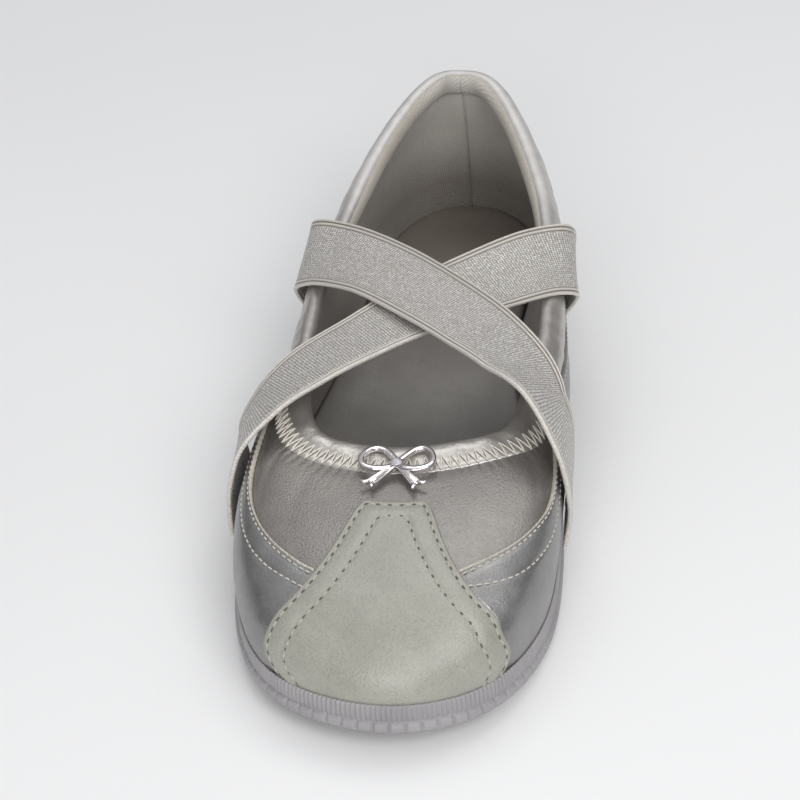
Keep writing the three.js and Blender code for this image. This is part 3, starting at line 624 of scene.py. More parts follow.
class Look:
    """A node material on one principled shader, with short calls for the nodes it needs."""

    def __init__(self, name, color, roughness, metallic=0.0, **sockets):
        self.material = bpy.data.materials.new(name)
        self.material.use_nodes = True
        self.tree = self.material.node_tree
        self.shader = self.tree.nodes["Principled BSDF"]
        self.shader.inputs["Base Color"].default_value = (*color, 1)
        self.shader.inputs["Roughness"].default_value = roughness
        self.shader.inputs["Metallic"].default_value = metallic
        for key, value in sockets.items():
            self.shader.inputs[key.replace("_", " ")].default_value = value

    def add(self, kind, inputs=None, **settings):
        node = self.tree.nodes.new("ShaderNode" + kind)
        for key, value in settings.items():
            setattr(node, key, value)
        for key, value in (inputs or {}).items():
            if isinstance(value, bpy.types.NodeSocket):
                self.tree.links.new(value, node.inputs[key])
            else:
                node.inputs[key].default_value = value
        return node

    def math(self, operation, a, b=0.0, clamp=False):
        return self.add("Math", {0: a, 1: b}, operation=operation, use_clamp=clamp).outputs[0]

    def places(self):
        return self.add("TexCoord").outputs["Object"]

    def uv(self):
        return self.add("UVMap", uv_map="cloth").outputs["UV"]

    def attribute(self, name):
        return self.add("Attribute", attribute_name=name).outputs["Fac"]

    def noise(self, scale, detail=2.0, vector=None, roughness=0.5):
        inputs = {"Vector": vector or self.places(), "Scale": scale, "Detail": detail,
                  "Roughness": roughness}
        return self.add("TexNoise", inputs).outputs["Fac"]

    def drift(self, scale, size):
        """A small random shift of place, so that cells and lines don't look ruled."""
        noise = self.add("TexNoise", {"Vector": self.places(), "Scale": scale}).outputs["Color"]
        centred = self.add("VectorMath", {0: noise, 1: (0.5, 0.5, 0.5)}, operation="SUBTRACT")
        return self.add("VectorMath", {0: centred.outputs[0], "Scale": size},
                        operation="SCALE").outputs[0]

    def cells(self, scale, vector=None, feature="F1"):
        inputs = {"Vector": vector or self.places(), "Scale": scale}
        return self.add("TexVoronoi", inputs, feature=feature).outputs["Distance"]

    def ramp(self, value, low, high, to_low=0.0, to_high=1.0):
        inputs = {"Value": value, "From Min": low, "From Max": high, "To Min": to_low,
                  "To Max": to_high}
        return self.add("MapRange", inputs).outputs["Result"]

    def mix(self, share, a, b):
        """A colour between two colours, each a socket or three numbers."""
        node = self.add("Mix", data_type="RGBA")
        for key, value in (("Factor", share), ("A", a), ("B", b)):
            socket = [s for s in node.inputs if s.name == key and s.enabled][0]
            if isinstance(value, bpy.types.NodeSocket):
                self.tree.links.new(value, socket)
            elif key == "Factor":
                socket.default_value = value
            else:
                socket.default_value = (*value, 1)
        return [s for s in node.outputs if s.enabled][0]

    def color(self, socket):
        self.tree.links.new(socket, self.shader.inputs["Base Color"])

    def roughness(self, socket):
        self.tree.links.new(socket, self.shader.inputs["Roughness"])

    def relief(self, *heights):
        """Bumps on bumps: each height is a socket with its depth in millimetres."""
        normal = None
        for height, depth in heights:
            inputs = {"Height": height, "Distance": depth * MM, "Strength": 1.0}
            if normal is not None:
                inputs["Normal"] = normal
            normal = self.add("Bump", inputs).outputs["Normal"]
        self.tree.links.new(normal, self.shader.inputs["Normal"])


def leather(name, color, light, roughness, metallic, grain=1000.0, depth=0.06, fold=0.04,
            pits=0.16, **sockets):
    """Fine-grained leather whose foil lightens on its high spots."""
    look = Look(name, color, roughness, metallic, **sockets)
    drift = look.add("VectorMath", {0: look.places(), 1: look.drift(500.0, 0.0006)},
                     operation="ADD").outputs[0]
    pebbles = look.cells(grain, drift, "SMOOTH_F1")
    pores = look.noise(2600.0, 3.0)
    folds = look.noise(75.0, 2.0)
    mottle = look.noise(240.0, 4.0, roughness=0.6)
    tone = look.math("ADD", look.math("MULTIPLY", folds, 0.6), look.math("MULTIPLY", mottle, 0.4))
    shade = look.mix(look.ramp(tone, 0.36, 0.64), color, light)
    valleys = look.ramp(pebbles, 0.35, 0.75, 0.0, pits)
    look.color(look.mix(valleys, shade, tuple(0.45 * c for c in color)))
    worn = look.math("MULTIPLY", look.math("SUBTRACT", mottle, 0.5), 0.3)
    look.roughness(look.math("ADD", worn, roughness))
    grained = look.math("MULTIPLY", pebbles, -1.0)
    look.relief((folds, fold * 8), (mottle, fold), (grained, depth), (pores, depth * 0.3))
    return look


def make_looks():
    looks = {}
    looks["vamp"] = leather("vamp_leather", (0.27, 0.254, 0.24), (0.32, 0.3, 0.28), 0.42,
                            0.7, grain=2100.0, depth=0.075, fold=0.014, pits=0.3,
                            Coat_Weight=0.1, Coat_Roughness=0.4)
    looks["panel"] = leather("panel_leather", (0.278, 0.272, 0.27), (0.335, 0.327, 0.321), 0.41,
                             0.75, grain=2000.0, depth=0.06, fold=0.014, pits=0.2,
                             Coat_Weight=0.1, Coat_Roughness=0.35)
    looks["cap"] = leather("toe_leather", (0.33, 0.323, 0.28), (0.39, 0.382, 0.335), 0.42, 0.05,
                           grain=2100.0, depth=0.11, fold=0.014, pits=0.25, Coat_Weight=0.25,
                           Coat_Roughness=0.34)
    looks["binding"] = binding_look()
    looks["lining"] = lining_look()
    looks["insole"] = leather("insole_leather", (0.24, 0.226, 0.21), (0.295, 0.279, 0.26), 0.48,
                              0.1, grain=1300.0, depth=0.03, fold=0.05, Coat_Weight=0.1,
                              Coat_Roughness=0.4)
    darken_rear(looks["insole"])
    looks["elastic"] = elastic_look()
    looks["rubber"] = rubber_look()
    looks["raw_edge"] = raw_edge_look()
    looks["cream_thread"] = thread_look("cream_thread", (0.66, 0.615, 0.54))
    looks["zigzag"] = thread_look("zigzag_thread", (0.88, 0.83, 0.74))
    looks["sage_thread"] = thread_look("sage_thread", (0.5, 0.5, 0.425))
    # Near-black beads between the toe overlay's stitches: painted shade in the dimples where the
    # thread sinks in
    looks["hole"] = thread_look("stitch_hole", (0.12, 0.115, 0.088))
    looks["metal"] = metal_look()
    looks["stone"] = stone_look()
    return looks


def darken_rear(look):
    """The insole's colour follows the photograph's shade: dark towards the heel, brown at its end."""
    color = look.shader.inputs["Base Color"].links[0].from_socket
    along = look.add("SeparateXYZ", {0: look.places()}).outputs[1]
    rearwards = look.ramp(along, 8 * MM, 62 * MM)
    rear = look.mix(look.ramp(along, 58 * MM, 90 * MM), (0.115, 0.1, 0.088), (0.2, 0.172, 0.146))
    look.color(look.mix(rearwards, color, rear))


def binding_look():
    """The vamp's foil leather in front, coloured paler than the vamp as a painted highlight on the
    rolled edge; paler and pearlier towards the heel.
    """
    look = Look("binding_leather", (0.34, 0.318, 0.296), 0.42, 0.7, Coat_Weight=0.15,
                Coat_Roughness=0.35)
    soft = look.noise(260.0, 3.0)
    pebbles = look.cells(1000.0)
    pearl = look.attribute("pearl")
    share = look.ramp(soft, 0.35, 0.65)
    # Front colours paler than the vamp's own: painted highlight on the rolled edge
    front = look.mix(share, (0.44, 0.418, 0.395), (0.52, 0.495, 0.465))
    back = look.mix(share, (0.56, 0.54, 0.52), (0.64, 0.62, 0.6))
    look.color(look.mix(pearl, front, back))
    look.roughness(look.ramp(pearl, 0.0, 1.0, 0.36, 0.48))
    metallic = look.ramp(pearl, 0.0, 1.0, 0.7, 0.25)
    look.tree.links.new(metallic, look.shader.inputs["Metallic"])
    look.relief((soft, 0.08), (look.math("MULTIPLY", pebbles, -1.0), 0.05))
    return look


def lining_look():
    """Knitted mesh in slanting rows, with a fleecy beige strip at the collar."""
    look = Look("mesh_lining", (0.3, 0.275, 0.24), 0.85, 0.0, Sheen_Weight=0.3,
                Sheen_Roughness=0.5)
    uv = look.uv()
    split = look.add("SeparateXYZ", {0: uv}).outputs
    pitch = 2 * math.pi / (1.5 * MM)
    slant = look.math("ADD", look.math("MULTIPLY", split[0], pitch * 0.7),
                      look.math("MULTIPLY", split[1], pitch))
    other = look.math("SUBTRACT", look.math("MULTIPLY", split[0], pitch * 1.1),
                      look.math("MULTIPLY", split[1], pitch * 0.8))
    weave = look.math("MULTIPLY", look.math("SINE", slant), look.math("SINE", other))
    holes = look.ramp(weave, -0.5, 0.6)
    fleece = look.attribute("fleece")
    fluff = look.noise(2200.0, 5.0, roughness=0.7)
    mesh_color = look.mix(holes, (0.64, 0.6, 0.545), (0.86, 0.82, 0.765))
    fleece_color = look.mix(look.ramp(fluff, 0.3, 0.7), (0.36, 0.325, 0.275), (0.58, 0.535, 0.465))
    # Darker and browner deep inside, as the photograph's shade is
    deep = look.ramp(split[1], -45 * MM, -6 * MM)
    mesh_color = look.mix(deep, look.mix(holes, (0.2, 0.175, 0.15), (0.3, 0.265, 0.23)),
                          mesh_color)
    look.color(look.mix(fleece, mesh_color, fleece_color))
    relief = look.mix(fleece, look.add("CombineXYZ", {0: holes, 1: holes, 2: holes}).outputs[0],
                      look.add("CombineXYZ", {0: fluff, 1: fluff, 2: fluff}).outputs[0])
    look.relief((relief, 0.35))
    return look


def elastic_look():
    """Woven elastic: cross ribs, glittering metal thread and two pale cords along each edge."""
    look = Look("band_elastic", (0.4, 0.38, 0.365), 0.5, 0.4, Sheen_Weight=0.2,
                Sheen_Roughness=0.4)
    uv = look.uv()
    split = look.add("SeparateXYZ", {0: uv}).outputs
    wander = look.math("MULTIPLY", look.noise(900.0, 1.0), 1.4)
    ribs = look.math("SINE", look.math("ADD", look.math("MULTIPLY", split[0], 2 * math.pi
                                                         / (0.8 * MM)), wander))
    warps = look.math("SINE", look.math("ADD", look.math("MULTIPLY", split[1], 2 * math.pi
                                                          / (0.62 * MM)), wander))
    raised = look.ramp(look.math("ADD", ribs, look.math("MULTIPLY", warps, 0.7)), -1.2, 1.4)
    glitter = look.noise(2100.0, 2.0, roughness=0.8)
    speck = look.ramp(look.math("MULTIPLY", glitter, look.ramp(raised, 0.0, 1.0, 0.75, 1.15)),
                      0.47, 0.57)
    cord = look.attribute("cord")
    dark = look.mix(raised, (0.31, 0.292, 0.275), (0.5, 0.474, 0.448))
    body = look.mix(speck, dark, (0.9, 0.87, 0.83))
    edge = look.mix(look.ramp(cord, 0.0, 1.0), (0.2, 0.17, 0.145), (0.74, 0.7, 0.65))
    look.color(look.mix(look.attribute("edge"), body, edge))
    look.roughness(look.ramp(glitter, 0.45, 0.65, 0.6, 0.3))
    look.relief((raised, 0.1), (glitter, 0.3))
    return look


def rubber_look():
    look = Look("sole_rubber", (0.3, 0.288, 0.3), 0.5, 0.0, Coat_Weight=0.08, Coat_Roughness=0.4)
    cloud = look.noise(60.0, 3.0)
    fine = look.noise(1800.0, 3.0)
    look.color(look.mix(look.ramp(cloud, 0.35, 0.65), (0.31, 0.296, 0.307), (0.36, 0.346, 0.354)))
    look.roughness(look.ramp(fine, 0.3, 0.7, 0.46, 0.58))
    look.relief((fine, 0.03))
    return look


def raw_edge_look():
    """The pale core that shows where the leather is cut."""
    look = Look("raw_edge", (0.6, 0.56, 0.48), 0.8)
    fibre = look.noise(1700.0, 4.0, roughness=0.7)
    look.color(look.mix(look.ramp(fibre, 0.35, 0.65), (0.45, 0.41, 0.34), (0.68, 0.64, 0.56)))
    look.relief((fibre, 0.2))
    return look


def thread_look(name, color):
    look = Look(name, color, 0.65, 0.0, Sheen_Weight=0.2)
    twist = look.noise(3200.0, 2.0)
    dark = tuple(0.72 * c for c in color)
    look.color(look.mix(look.ramp(twist, 0.35, 0.65), dark, color))
    look.relief((twist, 0.08))
    return look


def metal_look():
    look = Look("charm_metal", (0.86, 0.81, 0.82), 0.07, 1.0)
    scuff = look.noise(700.0, 3.0)
    look.roughness(look.ramp(scuff, 0.4, 0.75, 0.05, 0.16))
    look.relief((look.noise(420.0, 2.0), 0.05))
    return look


def stone_look():
    look = Look("charm_stone", (0.95, 0.93, 0.96), 0.03, 0.0, Coat_Weight=1.0,
                Coat_Roughness=0.02, Specular_IOR_Level=1.0, Transmission_Weight=0.35, IOR=1.9)
    # Grey patches on the clear stone are painted facet reflections
    facet_reflection_patches = look.cells(900.0)
    look.color(look.mix(look.ramp(facet_reflection_patches, 0.1, 0.6), (0.98, 0.96, 1.0), (0.62, 0.6, 0.66)))
    return look


# The upper


def make_vamp(looks):
    columns = np.arange(440) / 440
    shares = np.concatenate([np.linspace(0, 0.9, 52), np.linspace(0.92, 1.0, 8)])
    place = columns[None, :]
    top = up_below_top(place, VAMP_BELOW_TOP)
    up = shares[:, None] * top
    rise = creases(place, up)
    pulled = zigzag_pull(place, up)
    outer = above(place, up, rise + pulled)
    inner = above(place, up, np.full(up.shape, -VAMP_THICK))
    piece = shell("upper_leather", outer, inner, looks["vamp"].material, wrap=True)
    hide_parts("upper")


def throat_share(place):
    """1 round the throat's front, 0 behind it."""
    apart = np.abs(np.mod(place + 0.5, 1) - 0.5)
    return 1 - smooth(apart, ZIGZAG_REACH - 0.02, ZIGZAG_REACH + 0.02)


def zigzag_pull(place, up):
    """Small puckers below the zigzag, one to each stitch."""
    place, up = np.broadcast_arrays(place, up)
    edge = up_below_top(place, ZIGZAG_LOW)
    below = np.maximum(0, (edge - up) * THROAT_MM_PER_UP)
    wave = np.cos(2 * math.pi * throat_distance(place) / ZIGZAG_PITCH)
    return throat_share(place) * (0.1 * wave * bump(below, 2.5) - 0.25 * bump(below, 1.3))


fine_rounds = np.linspace(-0.5, 0.5, 2001)
throat_track = surface(fine_rounds, np.full_like(fine_rounds, THROAT_UP))
throat_travel = np.concatenate(
    [[0], np.cumsum(np.linalg.norm(np.diff(throat_track, axis=0), axis=1))]
)


def throat_distance(place):
    return np.interp(np.mod(place + 0.5, 1) - 0.5, fine_rounds, throat_travel)


# The binding's outside from its lower edge: distance below the topline and height above the upper
BINDING_FRONT = ((8.6, -0.6), (8.2, -0.1), (7.6, 0.18), (6.8, 0.3), (6.0, 0.3), (5.2, 0.36),
                 (4.4, 0.56), (3.6, 0.86), (2.8, 1.14), (1.8, 1.36), (0.8, 1.46), (0.0, 1.4))
BINDING_BACK = ((7.6, -0.5), (7.5, 0.2), (7.2, 0.72), (6.6, 1.1), (5.6, 1.5), (4.8, 1.74),
                (4.0, 1.9), (3.2, 1.96), (2.4, 1.94), (1.6, 1.84), (0.8, 1.68), (0.0, 1.5))


def collar_share(place):
    """0 round the throat, 1 round the heel, where the lining rolls over the rim."""
    return smooth(section_at(place)["climb"], 0.17, 0.3)


def make_binding(looks):
    count = 640
    columns, travelled = even_rounds(count + 1)
    place = columns[:-1]
    front = throat_share(place)
    pearl = smooth(1 - front, 0.2, 1.0) * smooth(section_at(place)["climb"], 0.14, 0.5)
    behind = collar_share(place)
    rings = []
    wave = np.cos(2 * math.pi * throat_distance(place) / ZIGZAG_PITCH)
    for (front_at, front_high), (back_at, back_high) in zip(BINDING_FRONT, BINDING_BACK):
        distance = lerp(back_at, front_at, front)
        high = lerp(back_high, front_high, front)
        pucker = 0.1 * wave * bump(distance - 5.9, 2.4) * front
        wander = 0.1 * np.sin(travelled[:-1] * 0.21) + 0.07 * np.sin(travelled[:-1] * 0.53 + 1)
        up = up_below_top(place, distance)
        rings.append(above(place, up, high + pucker + wander * smooth(high, 0.3, 1.2)))
    half = rim_thickness(place) / 2
    _, upwards, out, _, _ = directions(place, np.ones_like(place))
    middle = surface(place, np.ones_like(place)) - out * half[:, None]
    for turn in np.linspace(0.1, 0.9, 9):
        angle = math.pi * turn
        grow = half + lerp(1.5, 1.1, turn) - behind * 1.2 * smooth(turn, 0.5, 0.72)
        rings.append(
            middle
            + out * (math.cos(angle) * grow)[:, None]
            + upwards * (math.sin(angle) * grow)[:, None]
        )
    inner_leg = ((0.0, 1.1), (0.8, 1.05), (1.6, 0.85), (2.2, 0.5), (2.5, -0.2), (2.5, -0.9))
    for distance, high in inner_leg:
        up = up_below_top(place, distance)
        inside = lerp(high, min(high, 0.0), behind)
        rings.append(above(place, up, -wall_thickness(place, up) - inside))
    rings.append(above(place, up_below_top(place, 2.5), np.full(place.shape, -1.2)))
    rings.append(above(place, up_below_top(place, 7.6), np.full(place.shape, -0.9)))
    rings = np.array(rings)
    piece = ring_tube("topline", rings, looks["binding"].material,
                      attributes={"pearl": np.broadcast_to(pearl, rings.shape[:2])})
    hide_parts("topline_binding")


def make_lining(looks):
    """From the rim down to the insole: fleece over the collar, then mesh, seamed at the back."""
    columns, travelled = even_rounds(420, start=0.5)
    place = columns[None, :]
    behind = collar_share(columns)
    half = rim_thickness(columns) / 2
    _, upwards, out, _, _ = directions(columns, np.ones_like(columns))
    middle = surface(columns, np.ones_like(columns)) - out * half[:, None]
    skin, back, fleeces, drops = [], [], [], []
    at_back = 1 - smooth(np.abs(np.mod(columns, 1) - 0.5), 0.02, 0.09)
    radius = half + lerp(-0.7, 1.4, behind)
    for turn in np.linspace(0.5, 0.98, 8):
        angle = math.pi * turn
        grow = radius - behind * 0.9 * (1 - smooth(turn, 0.5, 0.62))
        way = out * math.cos(angle) + upwards * math.sin(angle)
        skin.append(middle + way * grow[:, None])
        back.append(middle + way * (grow - 0.5)[:, None])
        fleeces.append(behind * (1 - at_back * smooth(turn, 0.56, 0.74)))
        drops.append((turn - 1) * 6.0)
    seam = np.minimum(travelled, travelled[-1] - travelled)
    groove = -0.5 * bump(seam, 1.1) + 0.35 * bump(seam - 2.4, 1.3)
    distances = (0.5, 1.0, 1.6, 2.2, 2.8, 3.4, 4.0, 4.8, 5.8, 7.0, 8.0)
    lowest = up_below_top(columns, distances[-1])
    ups = [up_below_top(columns, distance) for distance in distances]
    ups += [lowest * share for share in np.linspace(0.96, 0.0, 40)]
    downs = list(distances) + list(distances[-1] + np.linspace(0.04, 1, 40) * LINING_DROP)
    for up, distance in zip(ups, downs):
        rolled = lerp(1.4, 0.25, smooth(distance, 1.6, 4.2))
        tucked = lerp(-0.6, 0.25, smooth(distance, 0.5, 3.4))
        depth = wall_thickness(columns, up) + lerp(tucked, rolled, behind)
        depth = depth + groove * smooth(distance, 2.0, 5.0)
        skin.append(above(columns, up, -depth))
        back.append(above(columns, up, -depth + 0.5))
        fleeces.append(behind * (1 - smooth(distance, 2.2, 3.2)) * (1 - at_back))
        drops.append(distance)
    uv = np.stack(np.broadcast_arrays(travelled[None, :], -np.array(drops)[:, None]), -1)
    piece = shell("lining", np.array(skin), np.array(back), looks["lining"].material, uv=uv,
                  attributes={"fleece": np.array(fleeces)})
    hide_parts("upper")


def rounded_lift(distance, low, high, radius=0.75):
    """Height of a cut leather's face at a distance from its edge, which is rounded over."""
    share = np.clip(distance / radius, 0, 1)
    return low + (high - low) * np.sqrt(np.clip(1 - (1 - share) ** 2, 0, 1))


def cap_sides(height):
    outer = curve_through(tuple(zip(CAP_HEIGHT, CAP_OUTER)))
    inner = curve_through(tuple(zip(CAP_HEIGHT, CAP_INNER)))
    return inner(height), outer(height)


def cap_corner(height):
    """The top corners are rounded: the sides draw in over the last of the height."""
    share = np.clip((height - 0.93) / 0.07, 0, 1)
    return 1 - 0.2 * (1 - np.sqrt(np.clip(1 - share**2, 0, 1)))


def cap_point(height, share):
    """A place on the toe overlay: share -1 on its big-toe edge, 1 on its little-toe edge."""
    inner, outer = cap_sides(height)
    middle = (inner + outer) / 2
    half = (outer - inner) / 2 * cap_corner(height)
    place = middle + share * half
    bulge = CAP_BULGE * (1 - share**2) * smooth(height, 0.85, 1.0)
    return place, lerp(below_lip(place), CAP_TOP, height) + bulge


def make_cap(looks):
    middle = np.linspace(0.011, 0.989, 120)
    half_edge = np.concatenate([[0, 0.001, 0.0025, 0.005, 0.008], middle])
    across = 2 * np.concatenate([half_edge, 1 - half_edge[:5][::-1]]) - 1
    heights = np.concatenate([np.linspace(0, 0.975, 90), [0.983, 0.989, 0.993, 0.996, 0.9985, 1]])
    place, up = cap_point(heights[:, None], across[None, :])
    track = surface(place, up)
    steps = np.linalg.norm(np.diff(track, axis=1), axis=-1)
    from_inner = np.concatenate([np.zeros((len(heights), 1)), np.cumsum(steps, 1)], 1)
    from_outer = from_inner[:, -1:] - from_inner
    rises = np.linalg.norm(np.diff(track, axis=0), axis=-1)
    from_foot = np.concatenate([np.zeros((1, len(across))), np.cumsum(rises, 0)])
    from_top = from_foot[-1:] - from_foot
    side = np.minimum(from_inner, from_outer) * CAP_SLOPE
    edge = np.minimum(side, from_top)
    lift = rounded_lift(edge, -0.35, OVERLAY_HIGH)
    row = np.minimum(np.abs(side - CAP_MARGIN), np.abs(from_top - CAP_MARGIN))
    row = np.where(edge < CAP_MARGIN, np.abs(edge - CAP_MARGIN), row)
    lift -= CAP_TROUGH * bump(row, 0.55)
    second = np.abs(np.minimum(side - CAP_SECOND, from_top - CAP_SECOND_TOP))
    lift -= STITCH_TROUGH * bump(second, 0.6)
    lift += CAP_PLUMP * bump(edge - CAP_PLUMP_AT, 1.6)
    outer = above(place, up, lift)
    inner = above(place, up, np.minimum(lift - 0.05, -0.4))
    piece = shell("toe_overlay_leather", outer, inner, looks["cap"].material)
    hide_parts("toe_overlay")


def cap_height_below_top(across, inset):
    """The height at which a toe overlay's column lies a distance below its top edge."""
    heights = np.linspace(1.0, 0.75, 60)
    track = surface(*cap_point(heights[:, None], across[None, :]))
    steps = np.linalg.norm(np.diff(track, axis=0), axis=-1)
    below = np.concatenate([np.zeros((1, len(across))), np.cumsum(steps, 0)])
    return np.array([np.interp(inset, below[:, k], heights) for k in range(len(across))])


def cap_row(inset, top_inset, rounding):
    """A stitch row on the toe overlay, from the lip up one side, over the top and down again."""
    height = np.linspace(0.0, 1.0, 90)
    span = np.linalg.norm(
        surface(*cap_point(height, np.ones_like(height)))
        - surface(*cap_point(height, -np.ones_like(height))),
        axis=-1,
    )
    share = 1 - 2 * inset / CAP_SLOPE / span
    highest = cap_height_below_top(np.zeros(1), top_inset)[0]
    keep = height < highest - 0.01 - rounding
    inner_place, inner_up = cap_point(height[keep], -share[keep])
    outer_place, outer_up = cap_point(height[keep], share[keep])
    corner = np.interp(highest - rounding, height, share)
    along = np.linspace(-1, 1, 40)
    drop = rounding * np.abs(along) ** 5
    top_height = cap_height_below_top(along * corner, top_inset) - drop
    top_place, top_up = cap_point(top_height, along * corner)
    line = list(zip(inner_place, inner_up))
    line += list(zip(top_place, top_up))
    line += list(zip(outer_place, outer_up))[::-1]
    return line


def panel_top(place, side):
    apart = np.abs(place)
    under = up_below_top(place, BINDING_DEPTH + 2 * GAP)
    own = curve_through(PANEL_EDGE[side])(apart)
    own = np.minimum(own, under)
    return lerp(own, under, smooth(apart, *PANEL_MEETS_BINDING))


def cap_edge_round(place, up, side):
    low = below_lip(place)
    height = np.clip((up - low) / (CAP_TOP - low), 0, 1)
    inner, outer = cap_sides(height)
    return np.abs(outer if side == 1 else inner)


def panel_grid(side, columns, shares):
    """Places on a side panel, its front tucked under the toe overlay's edge."""
    pull = np.maximum(0, (PANEL_SETTLED - columns) / (PANEL_SETTLED - PANEL_START)) ** 2
    place = side * np.broadcast_to(columns[None, :], (len(shares), len(columns))).copy()
    up = place
    tuck = -1.6
    for _ in range(6):
        up = lerp(below_lip(place), panel_top(place, side), shares[:, None])
        edge = cap_edge_round(place, up, side) + tuck / directions(place, up)[3]
        place = side * (columns[None, :] + (edge - PANEL_START) * pull[None, :])
    return place, up


def make_panel(side, looks):
    name = "outer" if side == 1 else "inner"
    columns = np.concatenate([np.linspace(PANEL_START, 0.14, 60), np.linspace(0.1415, 0.4994, 250)])
    shares = np.concatenate([np.linspace(0, 0.975, 56), [0.984, 0.99, 0.994, 0.997, 0.999, 1.0]])
    place, up = panel_grid(side, columns, shares)
    track = surface(place, up)
    rises = np.linalg.norm(np.diff(track, axis=0), axis=-1)
    from_foot = np.concatenate([np.zeros((1, len(columns))), np.cumsum(rises, 0)])
    from_top = from_foot[-1:] - from_foot
    steps = np.linalg.norm(np.diff(track, axis=1), axis=-1)
    from_back = np.cumsum(steps[:, ::-1], 1)[:, ::-1]
    from_back = np.concatenate([from_back, np.zeros((len(shares), 1))], 1)
    free = 1 - smooth(np.abs(place), 0.19, 0.23)
    lift = np.minimum(rounded_lift(from_top, 0.1, OVERLAY_HIGH, 0.5),
                      rounded_lift(from_back, 0.3, OVERLAY_HIGH, 1.0))
    second = (up - curve_through(PANEL_SECOND[side])(np.abs(place))) * MM_PER_UP
    lift -= STITCH_TROUGH * bump(from_top - PANEL_MARGIN, 0.5) * free
    lift -= STITCH_TROUGH * bump(second, 0.6) * (1 - smooth(np.abs(place), 0.2, 0.24))
    lift -= 0.3 * bump(from_back - HEEL_MARGIN, 0.8)
    lift += creases(place, up) * smooth(from_top, 0.5, 4.0)
    beyond_cap = np.abs(place) - cap_edge_round(place, up, side)
    tucked = 0.6 * smooth(beyond_cap, -0.0035, -0.0005) + 0.4 * smooth(beyond_cap, 0.0, 0.016)
    lift = lerp(np.minimum(lift, 0.35), lift, tucked)
    outer = above(place, up, lift)
    inner = above(place, up, np.minimum(lift - 0.1, -0.3))
    piece = shell("side_panel_" + name + "_leather", outer, inner, looks["panel"].material)
    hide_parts("side_panel_" + name)


def make_raw_edge(side, looks):
    """The cream cut edge that stands up along a side panel's top, at the vamp."""
    name = "outer" if side == 1 else "inner"
    columns = np.linspace(0.034, 0.215, 300)
    place = side * columns
    hidden = cap_edge_round(place, panel_top(place, side), side)
    place = place[np.abs(place) > hidden - 0.001]
    up = panel_top(place, side)
    travelled = np.abs(place) * MM_PER_ROUND
    ragged = 0.1 * np.sin(travelled * 2.3) + 0.07 * np.sin(travelled * 5.1 + 1.3)
    _, upwards, out, _, _ = directions(place, up)
    middle = above(place, up, np.full(place.shape, RAW_EDGE_LIFT))
    rings = []
    for angle in np.linspace(0, 2 * math.pi, 10, endpoint=False):
        wide = math.cos(angle) * (RAW_EDGE_WIDE + ragged * 0.6)
        deep = math.sin(angle) * (RAW_EDGE_DEEP + ragged * 0.5)
        rings.append(middle + upwards * wide[:, None] + out * deep[:, None])
    rings = np.array(rings).transpose(1, 0, 2)
    piece = ring_tube("raw_edge_" + name, rings, looks["raw_edge"].material, ends=True)


def make_threads(looks):
    first = cap_row(CAP_MARGIN, CAP_MARGIN, 0.004)
    second = cap_row(CAP_SECOND, CAP_SECOND_TOP, 0.035)
    thread = stitched("toe_overlay_thread", [first, second], OVERLAY_HIGH - 0.18,
                      looks["sage_thread"].material, pitch=CAP_STITCH_PITCH, length=1.9,
                      thick=0.62, rise=0.14)
    # Dark beads set between the stitches are painted shade in the stitch dimples
    holes = stitched("toe_overlay_holes", [first, second], OVERLAY_HIGH - 0.2,
                     looks["hole"].material, pitch=CAP_STITCH_PITCH, length=1.6, thick=0.5,
                     rise=0.08, start=1.0)
    rows = []
    for side in (1, -1):
        apart = np.linspace(0.042, 0.21, 200)
        place = side * apart
        edge = panel_top(place, side)
        margin = PANEL_MARGIN / directions(place, edge)[4]
        rows.append(list(zip(place, edge - margin)))
        apart = np.linspace(0.046, 0.225, 200)
        rows.append(list(zip(side * apart, curve_through(PANEL_SECOND[side])(apart))))
    thread = stitched("side_panel_thread", rows, OVERLAY_HIGH - 0.16,
                      looks["cream_thread"].material, pitch=2.1, length=1.75, thick=0.44,
                      rise=0.1)
    seam_ups = np.linspace(0.14, 0.86, 80)
    beside_seam = 0.5 - HEEL_MARGIN / HEEL_MM_PER_ROUND
    back = [[(side * beside_seam, up) for up in seam_ups] for side in (1, -1)]
    collar = []
    for side in (1, -1):
        apart = np.linspace(0.225, 0.499, 300)
        collar.append(list(zip(side * apart, up_below_top(side * apart, COLLAR_ROW))))
    thread = stitched("quarter_thread", back + collar, OVERLAY_HIGH - 0.12,
                      looks["cream_thread"].material, pitch=2.4, length=1.8, thick=0.42, rise=0.08)


